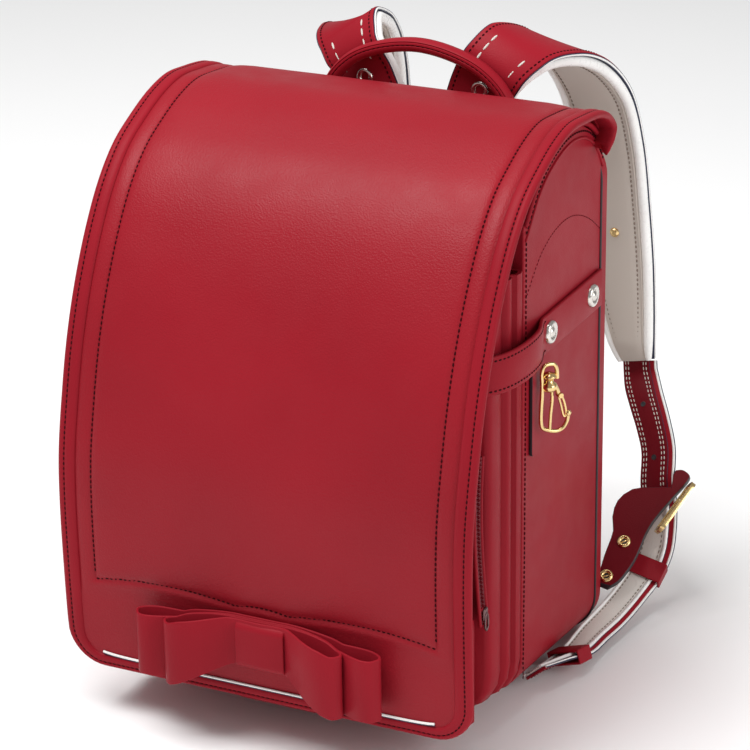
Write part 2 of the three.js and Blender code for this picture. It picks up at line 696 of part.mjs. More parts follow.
// Rows of a route made into evenly spaced points with their width directions
function routeRows(route, steps, width) {
  const places = new THREE.CatmullRomCurve3(route.map((row) => new THREE.Vector3(
    row.x * HALF, row.y * STRAP_SWING, row.z * BACK_HEIGHT)));
  const forms = new THREE.CatmullRomCurve3(
    route.map((row) => new THREE.Vector3(row.width, row.lean, row.turn)));
  return Array.from({ length: steps + 1 }, (_, i) => {
    const form = forms.getPoint(i / steps);
    const lean = THREE.MathUtils.degToRad(form.y);
    const turn = THREE.MathUtils.degToRad(form.z);
    return {
      point: places.getPoint(i / steps),
      across: new THREE.Vector3(
        Math.cos(lean) * Math.cos(turn), Math.cos(lean) * Math.sin(turn), Math.sin(lean)),
      width: form.x * width,
    };
  });
}

// The left strap's route, drawn as if on the right: lifted and leaned most at its crest
function leftRoute() {
  return STRAP_ROUTE.map((row, i) => {
    const share = Math.sin(Math.PI * Math.min(i / 7, 1));
    return { ...row, z: row.z + LEFT_LIFT * share, lean: row.lean + LEFT_LEAN * share };
  });
}

// A layer of the shoulder strap, its root cut level with the back panel's top
function strapLayer(route, low, high) {
  const band = solidOf(sweep(routeRows(route, 33, STRAP_WIDTH), low, high));
  const root = new THREE.BoxGeometry(BAG_WIDTH, STRAP_SWING / 2, TALL)
    .translate(0, 0, BACK_HEIGHT - TALL / 2);
  return geometryOf(band.subtract(solidOf(root)));
}

function strapLeather(route) {
  return strapLayer(route, 0, STRAP_LEATHER);
}

function strapPadding(route) {
  return strapLayer(route, -GAP, -GAP - STRAP_PADDING);
}

function lowerStrap() {
  return sweep(routeRows(LOWER_ROUTE, 42, LOWER_WIDTH), 0, LOWER_LEATHER);
}

// The plate on the back panel that carries both strap roots and the handle's ends
function strapAnchor() {
  const top = BACK_HEIGHT - GAP;
  const shape = uprightShape(ANCHOR_WIDTH, top - ANCHOR_HEIGHT, top, 10, 6);
  return alongY(shape, GAP, GAP + ANCHOR_THICKNESS);
}

// A frame of reference on a strap: where it is, along it, across it and out of its face
function spotOn(route, share) {
  const rows = routeRows(route, SPOT_STEPS, 1);
  const index = Math.round(share * SPOT_STEPS);
  const before = rows[Math.max(index - 1, 0)].point;
  const after = rows[Math.min(index + 1, SPOT_STEPS)].point;
  const run = after.clone().sub(before).normalize();
  const across = rows[index].across.clone().addScaledVector(run, -rows[index].across.dot(run)).normalize();
  const out = across.clone().cross(run);
  return new THREE.Matrix4().makeBasis(across, out, run.clone().negate()).setPosition(rows[index].point);
}

// A leather keeper: a flat ring round the narrow strap and its tail
function keeper(share) {
  const ring = (wall) => {
    const side = LOWER_WIDTH / 2 + 2 * GAP + wall;
    const low = -GAP - KEEPER_ROOM - wall;
    const high = LOWER_LEATHER + GAP + KEEPER_ROOM + wall;
    return [[-side, low], [side, low], [side, high], [-side, high]];
  };
  const outer = shapeOf(ring(KEEPER_WALL));
  outer.holes.push(new THREE.Path(ring(0).map(([a, b]) => new THREE.Vector2(a, b)).reverse()));
  return alongZ(outer, -KEEPER_WIDTH / 2, KEEPER_WIDTH / 2).applyMatrix4(spotOn(LOWER_ROUTE, share));
}

// The buckle leather's own frame: from the bag's lower back corner out to the buckle
function darumaFrame() {
  const root = new THREE.Vector3(HALF + DARUMA_ROOT.side, DARUMA_ROOT.y, DARUMA_ROOT.z);
  const tip = new THREE.Vector3(HALF + DARUMA_TIP.side, DARUMA_TIP.y, DARUMA_TIP.z);
  const along = tip.clone().sub(root).normalize();
  const across = new THREE.Vector3(DARUMA_ACROSS.x, DARUMA_ACROSS.y, DARUMA_ACROSS.z);
  across.addScaledVector(along, -across.dot(along)).normalize();
  const face = across.clone().cross(along);
  return new THREE.Matrix4().makeBasis(across, along, face).setPosition(root);
}

function daruma() {
  const middle = -0.265 * DARUMA_WIDTH;
  const place = (row) => new THREE.Vector2(
    middle + row.across * DARUMA_WIDTH, row.along * DARUMA_LENGTH + DARUMA_START);
  const smooth = (rows) => new THREE.SplineCurve(rows.map(place)).getPoints(16);
  const notch = DARUMA_NOTCH.map(place);
  const shape = new THREE.Shape([...smooth(DARUMA_LEFT), ...notch, ...smooth(DARUMA_RIGHT)]);
  const leather = solidOf(prism(shape, DARUMA_THICKNESS).applyMatrix4(darumaFrame()));
  const bag = new THREE.BoxGeometry(TALL, BACK_DEPTH * 2, TALL).translate(0, GAP - BACK_DEPTH, 0);
  return geometryOf(leather.subtract(solidOf(bag)));
}

function darumaEyelet(place) {
  const ring = eyelet(EYELET_RADIUS, EYELET_HEIGHT);
  ring.rotateX(Math.PI / 2);
  ring.translate(place.across * DARUMA_WIDTH, place.along * DARUMA_LENGTH, DARUMA_THICKNESS + GAP);
  return ring.applyMatrix4(darumaFrame());
}

// A low ring with a raised rim, standing on the XZ plane along +Y
function eyelet(radius, height) {
  const profile = [
    new THREE.Vector2(radius * 0.42, 0),
    new THREE.Vector2(radius, 0),
    new THREE.Vector2(radius * 0.9, height * 0.7),
    new THREE.Vector2(radius * 0.65, height),
    new THREE.Vector2(radius * 0.42, height * 0.6),
    new THREE.Vector2(radius * 0.42, 0),
  ];
  return new THREE.LatheGeometry(profile, 12);
}

// A low round dome, standing on the XZ plane along +Y
function dome(radius, height) {
  const profile = [
    new THREE.Vector2(0, 0),
    new THREE.Vector2(radius, 0),
    new THREE.Vector2(radius, height * 0.3),
    new THREE.Vector2(radius * 0.75, height * 0.8),
    new THREE.Vector2(0, height),
  ];
  return new THREE.LatheGeometry(profile, 12);
}

function buckleFrame() {
  const ring = (length, depth) => uprightShape(length, -depth / 2, depth / 2, depth * 0.3, depth * 0.3);
  const shape = ring(BUCKLE_LENGTH, BUCKLE_DEPTH);
  const inner = ring(BUCKLE_LENGTH - 2 * BUCKLE_WIRE, BUCKLE_DEPTH - 2 * BUCKLE_WIRE);
  shape.holes.push(new THREE.Path(inner.getPoints(4).reverse()));
  const frame = prism(shape, BUCKLE_WIRE, 4).translate(0, 0, -BUCKLE_WIRE / 2);
  return frame.applyMatrix4(buckleMatrix());
}

// The buckle stands on edge along the buckle leather's right side
function buckleMatrix() {
  const turn = THREE.MathUtils.degToRad(BUCKLE_TURN);
  const depth = new THREE.Vector3(Math.sin(turn), 0, Math.cos(turn));
  const normal = new THREE.Vector3(0, 1, 0).cross(depth);
  const edge = BUCKLE_EDGE * DARUMA_WIDTH + GAP + BUCKLE_WIRE / 2;
  const reach = (BUCKLE_DEPTH - BUCKLE_WIRE) / 2;
  const seat = new THREE.Vector3(edge, BUCKLE_PLACE * DARUMA_LENGTH, DARUMA_THICKNESS / 2);
  const centre = depth.clone().multiplyScalar(reach).add(seat);
  const local = new THREE.Matrix4().makeBasis(new THREE.Vector3(0, 1, 0), depth, normal).setPosition(centre);
  return darumaFrame().multiply(local);
}

function buckleProng() {
  const length = BUCKLE_DEPTH - 2 * BUCKLE_WIRE - 2 * GAP;
  return new THREE.CylinderGeometry(1, 1, length, 8).applyMatrix4(buckleMatrix());
}

// The cinch belt round the front compartments, under the flap
function cinchBelt() {
  const side = HALF + GAP;
  const front = SMALL_FRONT - 2 * GAP;
  const flank = BELT_FLANK.map((row) => new THREE.Vector3(
    side + row.out * BELT_BULGE, BACK_SEAM - row.along * (BACK_SEAM - SMALL_FRONT), 0));
  const face = BELT_FACE.map((row) => new THREE.Vector3(row.across * HALF, front - row.out * BELT_BULGE, 0));
  const half = [...flank, ...face];
  const other = half.slice(0, -1).reverse().map((point) => new THREE.Vector3(-point.x, point.y, 0));
  const curve = new THREE.CatmullRomCurve3([...half, ...other], false, 'centripetal');
  const middle = BELT_BOTTOM + BELT_HEIGHT / 2;
  const line = curve.getSpacedPoints(72).map((point) => ({
    point: point.setZ(middle), across: new THREE.Vector3(0, 0, 1), width: BELT_HEIGHT,
  }));
  return sweep(line, 0, BELT_THICKNESS);
}

function beltRivet(place) {
  const rivet = dome(RIVET_RADIUS, RIVET_HEIGHT).rotateZ(-Math.PI / 2);
  return rivet.translate(HALF + 2 * GAP + BELT_THICKNESS, BACK_SEAM - place * MAIN_DEPTH,
    BELT_BOTTOM + BELT_HEIGHT / 2);
}

function hookTab() {
  const shape = uprightShape(TAB_WIDTH, TAB_BOTTOM, TAB_BOTTOM + TAB_HEIGHT, 3, 1);
  const tab = alongY(shape, 0, TAB_THICKNESS).rotateZ(-Math.PI / 2);
  return tab.translate(HALF + GAP, TAB_PLACE, 0);
}

function hookMatrix() {
  const turn = new THREE.Matrix4().makeRotationZ(THREE.MathUtils.degToRad(HOOK_TURN));
  const side = HALF + GAP + TAB_THICKNESS + HOOK_STAND_OFF;
  return turn.setPosition(side, TAB_PLACE + HOOK_SIDE, TAB_BOTTOM + HOOK_RISE);
}

function wire(points, radius, steps) {
  const circle = new THREE.Shape().absarc(0, 0, radius, 0, Math.PI * 2);
  const route = new THREE.CatmullRomCurve3(points.map(([x, z]) => new THREE.Vector3(x, 0, z)));
  return new THREE.ExtrudeGeometry(circle, { extrudePath: route, steps, curveSegments: 4 });
}

// The snap hook: an open wire form under a swivel block and an eye
function hookBody() {
  const form = wire(HOOK_FORM, HOOK_WIRE / 2, 22);
  const block = new THREE.CylinderGeometry(3.4, 4.2, 5, 10).rotateX(Math.PI / 2).translate(-3, 0, 12);
  const eye = new THREE.TorusGeometry(6, 1.3, 6, 12).rotateX(Math.PI / 2).translate(-3, 0, 19.6);
  return geometryOf(solidOf(form).add(solidOf(block)).add(solidOf(eye))).applyMatrix4(hookMatrix());
}

function hookGate() {
  return wire(GATE_FORM, GATE_WIRE / 2, 4).applyMatrix4(hookMatrix());
}

// The flap's tongue under the bag and the lock it reaches
function lockTongue() {
  const room = GAP + TONGUE_THICKNESS;
  const sheet = (height) => flapFace(height) + FLAP_SINK + FLAP_THICKNESS + room;
  const hem = (height) => flapFace(height) + BINDING_THICKNESS + room;
  const under = (y) => underside(y) - GAP;
  const low = hem(FLAP_BOTTOM);
  const points = [
    [sheet(FLAP_BOTTOM + 50), FLAP_BOTTOM + 50],
    [sheet(FLAP_BOTTOM + 20), FLAP_BOTTOM + 20],
    [hem(FLAP_BOTTOM + FLAP_HEM), FLAP_BOTTOM + FLAP_HEM],
    [low + 1, FLAP_BOTTOM],
    [low + 6, FLAP_BOTTOM - 6],
    [low + 18, under(low + 18) + 0.5],
    [SMALL_FRONT, under(SMALL_FRONT)],
    [LOCK_PLACE, under(LOCK_PLACE)],
    [LOCK_PLACE + 20, under(LOCK_PLACE + 20)],
  ];
  const places = points.map(([y, z]) => new THREE.Vector3(0, y, z));
  const route = new THREE.CatmullRomCurve3(places, false, 'centripetal');
  const rows = route.getSpacedPoints(26).map((point) => ({
    point, across: new THREE.Vector3(1, 0, 0), width: LOCK_WIDTH,
  }));
  return sweep(rows, -TONGUE_THICKNESS, 0);
}

function lockBody() {
  const front = LOCK_PLACE - LOCK_DEPTH / 2;
  const back = LOCK_PLACE + LOCK_DEPTH / 2;
  const top = (y) => underside(y) - 2 * GAP - TONGUE_THICKNESS;
  return alongX(shapeOf([[front, 0], [back, 0], [back, top(back)], [front, top(front)]]), LOCK_WIDTH);
}

function strapStud(route) {
  const stud = dome(3.2, 1.6).rotateX(Math.PI);
  return stud.translate(STUD_SIDE, -STRAP_PADDING - 2 * GAP, 0).applyMatrix4(spotOn(route, STRAP_STUD));
}

function strapEyelet(route) {
  const ring = eyelet(6, 1.8).translate(0, STRAP_LEATHER + GAP, 0);
  return ring.applyMatrix4(spotOn(route, STRAP_EYELET));
}

const satchel = new THREE.Group();

function piece(name, geometry, finish) {
  const mesh = new THREE.Mesh(closed(geometry), new THREE.MeshStandardMaterial(finish));
  mesh.name = name;
  satchel.add(mesh);
}

// A piece on the right and its mirror image on the left
function pair(name, geometry, finish) {
  piece(`${name}_r`, geometry, finish);
  piece(`${name}_l`, mirrored(geometry), finish);
}

piece('main_body', mainBody(), RED);
piece('back_panel', backPanel(), RED);
piece('back_pad', backPad(), CREAM);
piece('small_compartment', smallCompartment(), RED);
piece('front_pocket', frontPocket(), RED);
piece('pocket_zipper', pocketZipper(), DARK_RED);
piece('zip_slider', zipSlider(), GOLD);
piece('flap', flapSheet(), RED);
piece('flap_panel', flapPanel(), RED);
piece('flap_binding', flapBinding(), RED);
piece('bottom_piping', bottomPiping(), WHITE);
piece('bow_back_loops', backLoops(), RED);
piece('bow_front_loops', frontLoops(), RED);
piece('bow_knot', bowKnot(), RED);
piece('handle', handle(), RED);
piece('strap_anchor', strapAnchor(), RED);
piece('strap_leather_r', strapLeather(STRAP_ROUTE), RED);
piece('strap_leather_l', mirrored(strapLeather(leftRoute())), RED);
piece('strap_padding_r', strapPadding(STRAP_ROUTE), CREAM);
piece('strap_padding_l', mirrored(strapPadding(leftRoute())), CREAM);
pair('lower_strap', lowerStrap(), RED);
pair('keeper_upper', keeper(UPPER_KEEPER), RED);
pair('keeper_lower', keeper(LOWER_KEEPER), RED);
pair('daruma', daruma(), RED);
pair('daruma_eyelet_low', darumaEyelet(LOW_EYELET), GOLD);
pair('daruma_eyelet_high', darumaEyelet(HIGH_EYELET), GOLD);
pair('buckle_frame', buckleFrame(), GOLD);
pair('buckle_prong', buckleProng(), GOLD);
piece('cinch_belt', cinchBelt(), RED);
RIVET_PLACES.forEach((place, i) => pair(`belt_rivet_${i + 1}`, beltRivet(place), SILVER));
pair('hook_tab', hookTab(), DARK_RED);
pair('hook_body', hookBody(), GOLD);
pair('hook_gate', hookGate(), GOLD);
piece('lock_tongue', lockTongue(), RED);
piece('lock_body', lockBody(), GOLD);
piece('strap_eyelet_r', strapEyelet(STRAP_ROUTE), SILVER);
piece('strap_eyelet_l', mirrored(strapEyelet(leftRoute())), SILVER);
piece('strap_stud_r', strapStud(STRAP_ROUTE), GOLD);
piece('strap_stud_l', mirrored(strapStud(leftRoute())), GOLD);

// The origin goes to the middle of the bag's footprint box, on the floor
const box = new THREE.Box3().setFromObject(satchel);
satchel.position.set(0, -(box.min.y + box.max.y) / 2, -box.min.z);

export default satchel;
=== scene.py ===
"""A red school satchel with a bow on its flap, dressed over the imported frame."""
import logging
import math
from dataclasses import dataclass, field
from enum import Enum
from typing import Callable, Iterable, Sequence

import bmesh
import bpy
from mathutils import Matrix, Vector, noise


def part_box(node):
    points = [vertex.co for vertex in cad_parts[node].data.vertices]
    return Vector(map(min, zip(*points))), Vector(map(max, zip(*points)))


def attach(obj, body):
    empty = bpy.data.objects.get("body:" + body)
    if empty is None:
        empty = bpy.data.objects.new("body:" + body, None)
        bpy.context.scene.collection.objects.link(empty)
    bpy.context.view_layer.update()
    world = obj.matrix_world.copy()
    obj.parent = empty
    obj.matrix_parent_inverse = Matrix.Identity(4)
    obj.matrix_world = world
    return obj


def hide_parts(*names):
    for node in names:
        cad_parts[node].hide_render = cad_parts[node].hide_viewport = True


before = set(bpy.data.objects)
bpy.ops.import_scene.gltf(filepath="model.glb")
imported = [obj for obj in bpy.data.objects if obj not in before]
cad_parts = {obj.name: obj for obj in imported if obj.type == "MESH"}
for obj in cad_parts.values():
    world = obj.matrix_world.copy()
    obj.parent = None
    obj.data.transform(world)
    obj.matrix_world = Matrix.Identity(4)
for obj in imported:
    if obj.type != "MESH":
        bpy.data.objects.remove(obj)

LOG = logging.getLogger("satchel")
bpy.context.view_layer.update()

# The drawing is in millimetres with the back panel's back face at Y = 0; the frame is in metres
MM = 0.001
BAG_SHIFT = 67.83
TO_FRAME = Matrix.Scale(MM, 4) @ Matrix.Translation((0.0, BAG_SHIFT, 0.0))
TO_DRAWING = TO_FRAME.inverted()

HALF = 124.0
BACK_HEIGHT = 336.0
BACK_SEAM = -11.3
SMALL_FRONT = -172.6
CORNER = 28.0

# Soft noise keeps mostly between these two values
NOISE_LOW = 0.3
NOISE_HIGH = 0.7

Line = list[tuple[Vector, Vector]]
Rows = tuple[tuple[float, float], ...]
Triples = tuple[tuple[float, float, float], ...]
Shape = bmesh.types.BMesh
Socket = bpy.types.NodeSocket


class Slot(Enum):
    """The record's material slots."""

    RED = "leather"
    DARK = "dark_leather"
    CREAM = "cream_lining"
    WHITE = "white_piping"
    GOLD = "gold_metal"
    SILVER = "silver_metal"


class Sheet:
    """A material's node tree, drawn one node at a time."""

    def __init__(self, name: str) -> None:
        """Starts an empty material with a Principled shader.

        Args:
            name: the material's name.
        """
        self.material = bpy.data.materials.new(name)
        self.material.use_nodes = True
        self.tree = self.material.node_tree
        self.shader = self.tree.nodes["Principled BSDF"]
        self.place = self.tree.nodes.new("ShaderNodeTexCoord").outputs["Object"]

    def node(self, kind: str, settings: dict | None = None, **sockets: object) -> bpy.types.Node:
        """Adds a node.

        Args:
            kind: the node's type without its ShaderNode prefix.
            settings: properties of the node.
            sockets: input names, underscores for spaces, with a value or an output to link.

        Returns:
            The node.
        """
        node = self.tree.nodes.new("ShaderNode" + kind)
        for key, value in (settings or {}).items():
            setattr(node, key, value)
        for key, value in sockets.items():
            socket = node.inputs[key.replace("_", " ")]
            if isinstance(value, Socket):
                self.tree.links.new(value, socket)
            else:
                socket.default_value = value
        return node

    def link(self, output: Socket, name: str) -> None:
        """Links an output to the shader's socket of that name."""
        self.tree.links.new(output, self.shader.inputs[name])

    def set(self, **values: object) -> None:
        """Sets the shader's own sockets, underscores for spaces."""
        for key, value in values.items():
            self.shader.inputs[key.replace("_", " ")].default_value = value

    def cloud(self, scale: float, detail: float = 3.0) -> Socket:
        """Returns soft noise of that many grains to the metre."""
        return self.node("TexNoise", Vector=self.place, Scale=scale, Detail=detail).outputs["Fac"]

    def spread(self, value: Socket, low: float, high: float) -> Socket:
        """Returns noise stretched between two values."""
        spread = self.node("MapRange", Value=value, From_Min=NOISE_LOW, From_Max=NOISE_HIGH,
                           To_Min=low, To_Max=high)
        return spread.outputs["Result"]

    def blend(self, share: Socket, low: Sequence[float],
              high: Sequence[float]) -> Socket:
        """Returns a colour between two by a share.

        Args:
            share: what chooses between them.
            low: the colour below.
            high: the colour above.

        Returns:
            The colour's output.
        """
        ramp = self.node("ValToRGB", Fac=share)
        ramp.color_ramp.elements[0].position = NOISE_LOW
        ramp.color_ramp.elements[0].color = (*low, 1.0)
        ramp.color_ramp.elements[1].position = NOISE_HIGH
        ramp.color_ramp.elements[1].color = (*high, 1.0)
        return ramp.outputs["Color"]

    def relief(self, height: Socket, depth: float, below: Socket | None = None,
               strength: float = 1.0) -> Socket:
        """Returns a bumped normal, on top of another one if given.

        Args:
            height: the relief.
            depth: how deep it is, in metres.
            below: a normal under it.
            strength: its share.

        Returns:
            The normal's output.
        """
        bump = self.node("Bump", Height=height, Distance=depth, Strength=strength)
        if below is not None:
            self.tree.links.new(below, bump.inputs["Normal"])
        return bump.outputs["Normal"]


def shade(colour: Sequence[float], factor: float) -> tuple[float, float, float]:
    """Returns a colour made lighter or darker."""
    return tuple(min(channel * factor, 1.0) for channel in colour)


@dataclass(frozen=True)
class Finish:
    """What a piece is made of: a colour that belongs to one of the record's slots."""

    name: str
    colour: tuple[float, float, float]
    slot: Slot

    def draw(self, sheet: Sheet) -> None:
        """Draws the surface on an empty sheet."""
        raise NotImplementedError

    def paint(self, sheet: Sheet, share: Socket, low: float, high: float) -> None:
        """Colours a sheet between two shades of the finish's colour, by a share.

        Args:
            sheet: the sheet.
            share: what chooses between them.
            low: the darker shade, as a share of the colour.
            high: the lighter one.
        """
        sheet.link(sheet.blend(share, shade(self.colour, low), shade(self.colour, high)), "Base Color")

    def material(self) -> bpy.types.Material:
        """Returns the finish's material, made once."""
        if self.name in bpy.data.materials:
            return bpy.data.materials[self.name]
        sheet = Sheet(self.name)
        self.draw(sheet)
        return sheet.material


@dataclass(frozen=True)
class Leather(Finish):
    """Grained leather: fine pebbles, pores and slow changes of tone."""

    roughness: float = 0.42
    pebble: float = 1100.0
    depth: float = 0.00006
    tone: float = 0.07
    shine: float = 0.07

    def draw(self, sheet: Sheet) -> None:
        """Draws the leather."""
        cells = sheet.node("TexVoronoi", {"feature": "SMOOTH_F1"}, Vector=sheet.place, Scale=self.pebble,
                           Smoothness=0.6).outputs["Distance"]
        grain = sheet.cloud(self.pebble * 2.3, 2.0)
        self.paint(sheet, sheet.cloud(9.0, 2.0), 1 - self.tone, 1 + self.tone)
        sheet.link(sheet.spread(sheet.cloud(60.0), self.roughness - 0.05, self.roughness + 0.05), "Roughness")
        fine = sheet.relief(grain, self.depth * 0.5)
        sheet.link(sheet.relief(cells, self.depth, fine), "Normal")
        sheet.set(Specular_IOR_Level=self.shine)


@dataclass(frozen=True)
class Thread(Finish):
    """Twisted sewing thread."""

    def draw(self, sheet: Sheet) -> None:
        """Draws the thread's twist."""
        twist = sheet.node("TexWave", {"bands_direction": "DIAGONAL"}, Vector=sheet.place,
                           Scale=1500.0).outputs["Fac"]
        self.paint(sheet, twist, 0.8, 1.1)
        sheet.link(sheet.relief(twist, 0.0001), "Normal")
        sheet.set(Roughness=0.7, Specular_IOR_Level=0.1)


@dataclass(frozen=True)
class Metal(Finish):
    """Polished plated metal with faint hazing and hair scratches."""

    roughness: float = 0.2

    def draw(self, sheet: Sheet) -> None:
        """Draws the plating."""
        haze = sheet.cloud(400.0)
        self.paint(sheet, sheet.cloud(120.0), 0.86, 1.05)
        sheet.link(sheet.spread(haze, self.roughness - 0.07, self.roughness + 0.08), "Roughness")
        stretched = sheet.node("Mapping", Vector=sheet.place, Scale=(300.0, 4000.0, 300.0)).outputs["Vector"]
        hair = sheet.node("TexNoise", Vector=stretched, Scale=1.0, Detail=2.0).outputs["Fac"]
        sheet.link(sheet.relief(hair, 0.00002), "Normal")
        sheet.set(Metallic=1.0)


@dataclass(frozen=True)
class Gloss(Finish):
    """Smooth coated piping or painted edge, with slight unevenness."""

    roughness: float = 0.25

    def draw(self, sheet: Sheet) -> None:
        """Draws the coating."""
        soft = sheet.cloud(350.0)
        self.paint(sheet, sheet.cloud(30.0), 0.94, 1.03)
        sheet.link(sheet.spread(soft, self.roughness - 0.05, self.roughness + 0.1), "Roughness")
        sheet.link(sheet.relief(soft, 0.0001), "Normal")


@dataclass(frozen=True)
class Weave(Finish):
    """Woven zip tape."""

    def draw(self, sheet: Sheet) -> None:
        """Draws the tape's warp and weft."""
        both = sheet.node("Math", {"operation": "MULTIPLY"})
        for way, socket in zip("ZY", both.inputs):
            bands = sheet.node("TexWave", {"bands_direction": way}, Vector=sheet.place, Scale=700.0)
            sheet.tree.links.new(bands.outputs["Fac"], socket)
        self.paint(sheet, both.outputs["Value"], 0.7, 1.15)
        sheet.link(sheet.relief(both.outputs["Value"], 0.0002), "Normal")
        sheet.set(Roughness=0.8)


RED = Leather("red_leather", (0.275, 0.0105, 0.0195), Slot.RED)
PANEL_RED = Leather("panel_leather", (0.28, 0.0095, 0.018), Slot.RED, 0.4, 900.0, 0.00013, 0.07, 0.15)
DEEP_RED = Leather("deep_leather", (0.14, 0.005, 0.01), Slot.DARK, 0.45)
BEIGE = Leather("lining_leather", (0.56, 0.5, 0.45), Slot.CREAM, 0.55, 1300.0, 0.00005, 0.04)
CUSHION = Leather("cushion_leather", (0.72, 0.67, 0.62), Slot.CREAM, 0.5, 900.0, 0.0001, 0.04)
# Near-black edge paint; it also colours the discs of painted shade in the strap holes and eyelets.
EDGE_AND_SHADE = Gloss("painted_edge_and_shade", (0.012, 0.01, 0.014), Slot.DARK, 0.4)
NAVY = Gloss("navy_edge", (0.012, 0.016, 0.05), Slot.DARK, 0.35)
WHITE = Gloss("white_roll", (0.92, 0.91, 0.89), Slot.WHITE, 0.28)
RED_THREAD = Thread("red_thread", (0.045, 0.001, 0.004), Slot.DARK)
TONAL_THREAD = Thread("tonal_thread", (0.13, 0.004, 0.009), Slot.DARK)
WHITE_THREAD = Thread("white_thread", (0.8, 0.77, 0.7), Slot.WHITE)
PALE_THREAD = Thread("pale_thread", (0.3, 0.24, 0.2), Slot.CREAM)
GOLD = Metal("gold_plate", (0.83, 0.6, 0.28), Slot.GOLD)
SILVER = Metal("silver_plate", (0.72, 0.68, 0.63), Slot.SILVER, 0.22)
DARK_METAL = Metal("dark_plate", (0.16, 0.09, 0.09), Slot.GOLD, 0.3)
TAPE = Weave("zip_tape", (0.2, 0.01, 0.02), Slot.DARK)


class Spline:
    """A centripetal curve through rows of numbers, first to last."""

    def __init__(self, rows: Iterable[Sequence[float]]) -> None:
        """Keeps the rows, with one more beyond either end.

        Args:
            rows: two rows or more of three numbers each.
        """
        rows = [Vector(row) for row in rows]
        self.spans = len(rows) - 1
        self.rows = [rows[0] * 2 - rows[1], *rows, rows[-1] * 2 - rows[-2]]

    def at(self, share: float) -> Vector:
        """Returns the curve's value at a share from 0 to 1.

        Args:
            share: how far along the rows.

        Returns:
            The three numbers there.
        """
        place = min(max(share, 0.0), 1.0) * self.spans
        index = min(int(place), self.spans - 1)
        way = place - index
        p0, p1, p2, p3 = self.rows[index:index + 4]
        d1 = max((p2 - p1).length ** 0.5, 1e-4)
        d0 = (p1 - p0).length ** 0.5 or d1
        d2 = (p3 - p2).length ** 0.5 or d1
        start = ((p1 - p0) / d0 - (p2 - p0) / (d0 + d1) + (p2 - p1) / d1) * d1
        end = ((p2 - p1) / d1 - (p3 - p1) / (d1 + d2) + (p3 - p2) / d2) * d1
        square = (p2 - p1) * 3 - start * 2 - end
        cube = (p1 - p2) * 2 + start + end
        return p1 + start * way + square * way * way + cube * way ** 3

    def points(self, count: int) -> list[Vector]:
        """Returns the curve as that many steps."""
        return [self.at(i / count) for i in range(count + 1)]


def table(rows: Sequence[tuple[float, float]], place: float) -> float:
    """Reads a table of places and values, straight between its rows.

    Args:
        rows: places in rising order, with their values.
        place: where to read.

    Returns:
        The value there, the end rows' beyond them.
    """
    if place <= rows[0][0]:
        return rows[0][1]
    for (low, first), (high, last) in zip(rows, rows[1:]):
        if place <= high:
            return first + (last - first) * (place - low) / (high - low)
    return rows[-1][1]


def even(line: Line, step: float) -> Line:
    """Returns a line's points at even distances.

    Args:
        line: points with their normals.
        step: the distance wanted.

    Returns:
        The new points, each with a normal between its neighbours'.
    """
    lengths = [0.0]
    for (a, _), (b, _) in zip(line, line[1:]):
        lengths.append(lengths[-1] + (b - a).length)
    count = max(int(lengths[-1] / step), 1)
    made = []
    index = 0
    for i in range(count + 1):
        reach = lengths[-1] * i / count
        while index < len(lengths) - 2 and lengths[index + 1] < reach:
            index += 1
        way = (reach - lengths[index]) / max(lengths[index + 1] - lengths[index], 1e-9)
        (a, up), (b, over) = line[index], line[index + 1]
        made.append((a.lerp(b, way), up.lerp(over, way).normalized()))
    return made


@dataclass
class Station:
    """One place on a swept piece: its middle, its width direction and the way its face looks."""

    point: Vector
    across: Vector
    out: Vector
    width: float = 1.0

    def spot(self, across: float, out: float) -> Vector:
        """Returns the point so far across and out of the face."""
        return self.point + self.across * across + self.out * out


def framed(points: Sequence[Vector], across: Callable[[int], Vector],
           width: Callable[[int], float]) -> list[Station]:
    """Makes stations along points, as the frame's bands are drawn.

    Args:
        points: the middle line.
        across: the width direction wanted at each point.
        width: the width at each point.

    Returns:
        A station for each point.
    """
    made = []
    for i, point in enumerate(points):
        run = (points[min(i + 1, len(points) - 1)] - points[max(i - 1, 0)]).normalized()
        side = across(i)
        side = (side - run * side.dot(run)).normalized()
        made.append(Station(point, side, side.cross(run), width(i)))
    return made


def own_frame(across: Vector, along: Vector, out: Vector, spot: Vector) -> Matrix:
    """Returns the matrix that stands a small form at a spot, by its three directions.

    Args:
        across: where its X points.
        along: where its Y points.
        out: where its Z points.
        spot: where it stands.

    Returns:
        The matrix.
    """
    made = Matrix((across, along, out)).transposed().to_4x4()
    made.translation = spot
    return made


def bent_sheet(columns: int, rows: int, place: Callable[[int, int], Vector], closed: bool = False,
               capped: bool = False) -> Shape:
    """Makes a grid and bends it to its shape.

    Args:
        columns: steps along.
        rows: steps round, or across.
        place: gives each crossing's point from its column and row.
        closed: joins the first row to the last.
        capped: fills the open ends.

    Returns:
        The bent grid.
    """
    bm = bmesh.new()
    bmesh.ops.create_grid(bm, x_segments=columns, y_segments=rows, size=1.0)
    for vertex in bm.verts:
        column = round((vertex.co.x + 1) / 2 * columns)
        row = round((vertex.co.y + 1) / 2 * rows)
        vertex.co = place(column, row)
    if closed:
        bmesh.ops.remove_doubles(bm, verts=bm.verts, dist=1e-4)
    if capped:
        bmesh.ops.holes_fill(bm, edges=bm.edges, sides=0)
    return bm


def swept(stations: Sequence[Station], section: Callable[[int], Sequence[tuple[float, float]]],
          ring: bool = False) -> Shape:
    """Sweeps a closed section along stations.

    Args:
        stations: the places along the piece.
        section: gives the closed outline at a station, as pairs across and out of the face.
        ring: joins the last station to the first, where the line runs in a ring.

    Returns:
        The closed solid.
    """
    outlines = [section(i) for i in range(len(stations))]
    around = len(outlines[0])

    def place(column: int, row: int) -> Vector:
        """Returns the section's point at a station."""
        return stations[column].spot(*outlines[column][row % around])

    return bent_sheet(len(stations) - 1, around, place, True, not ring)


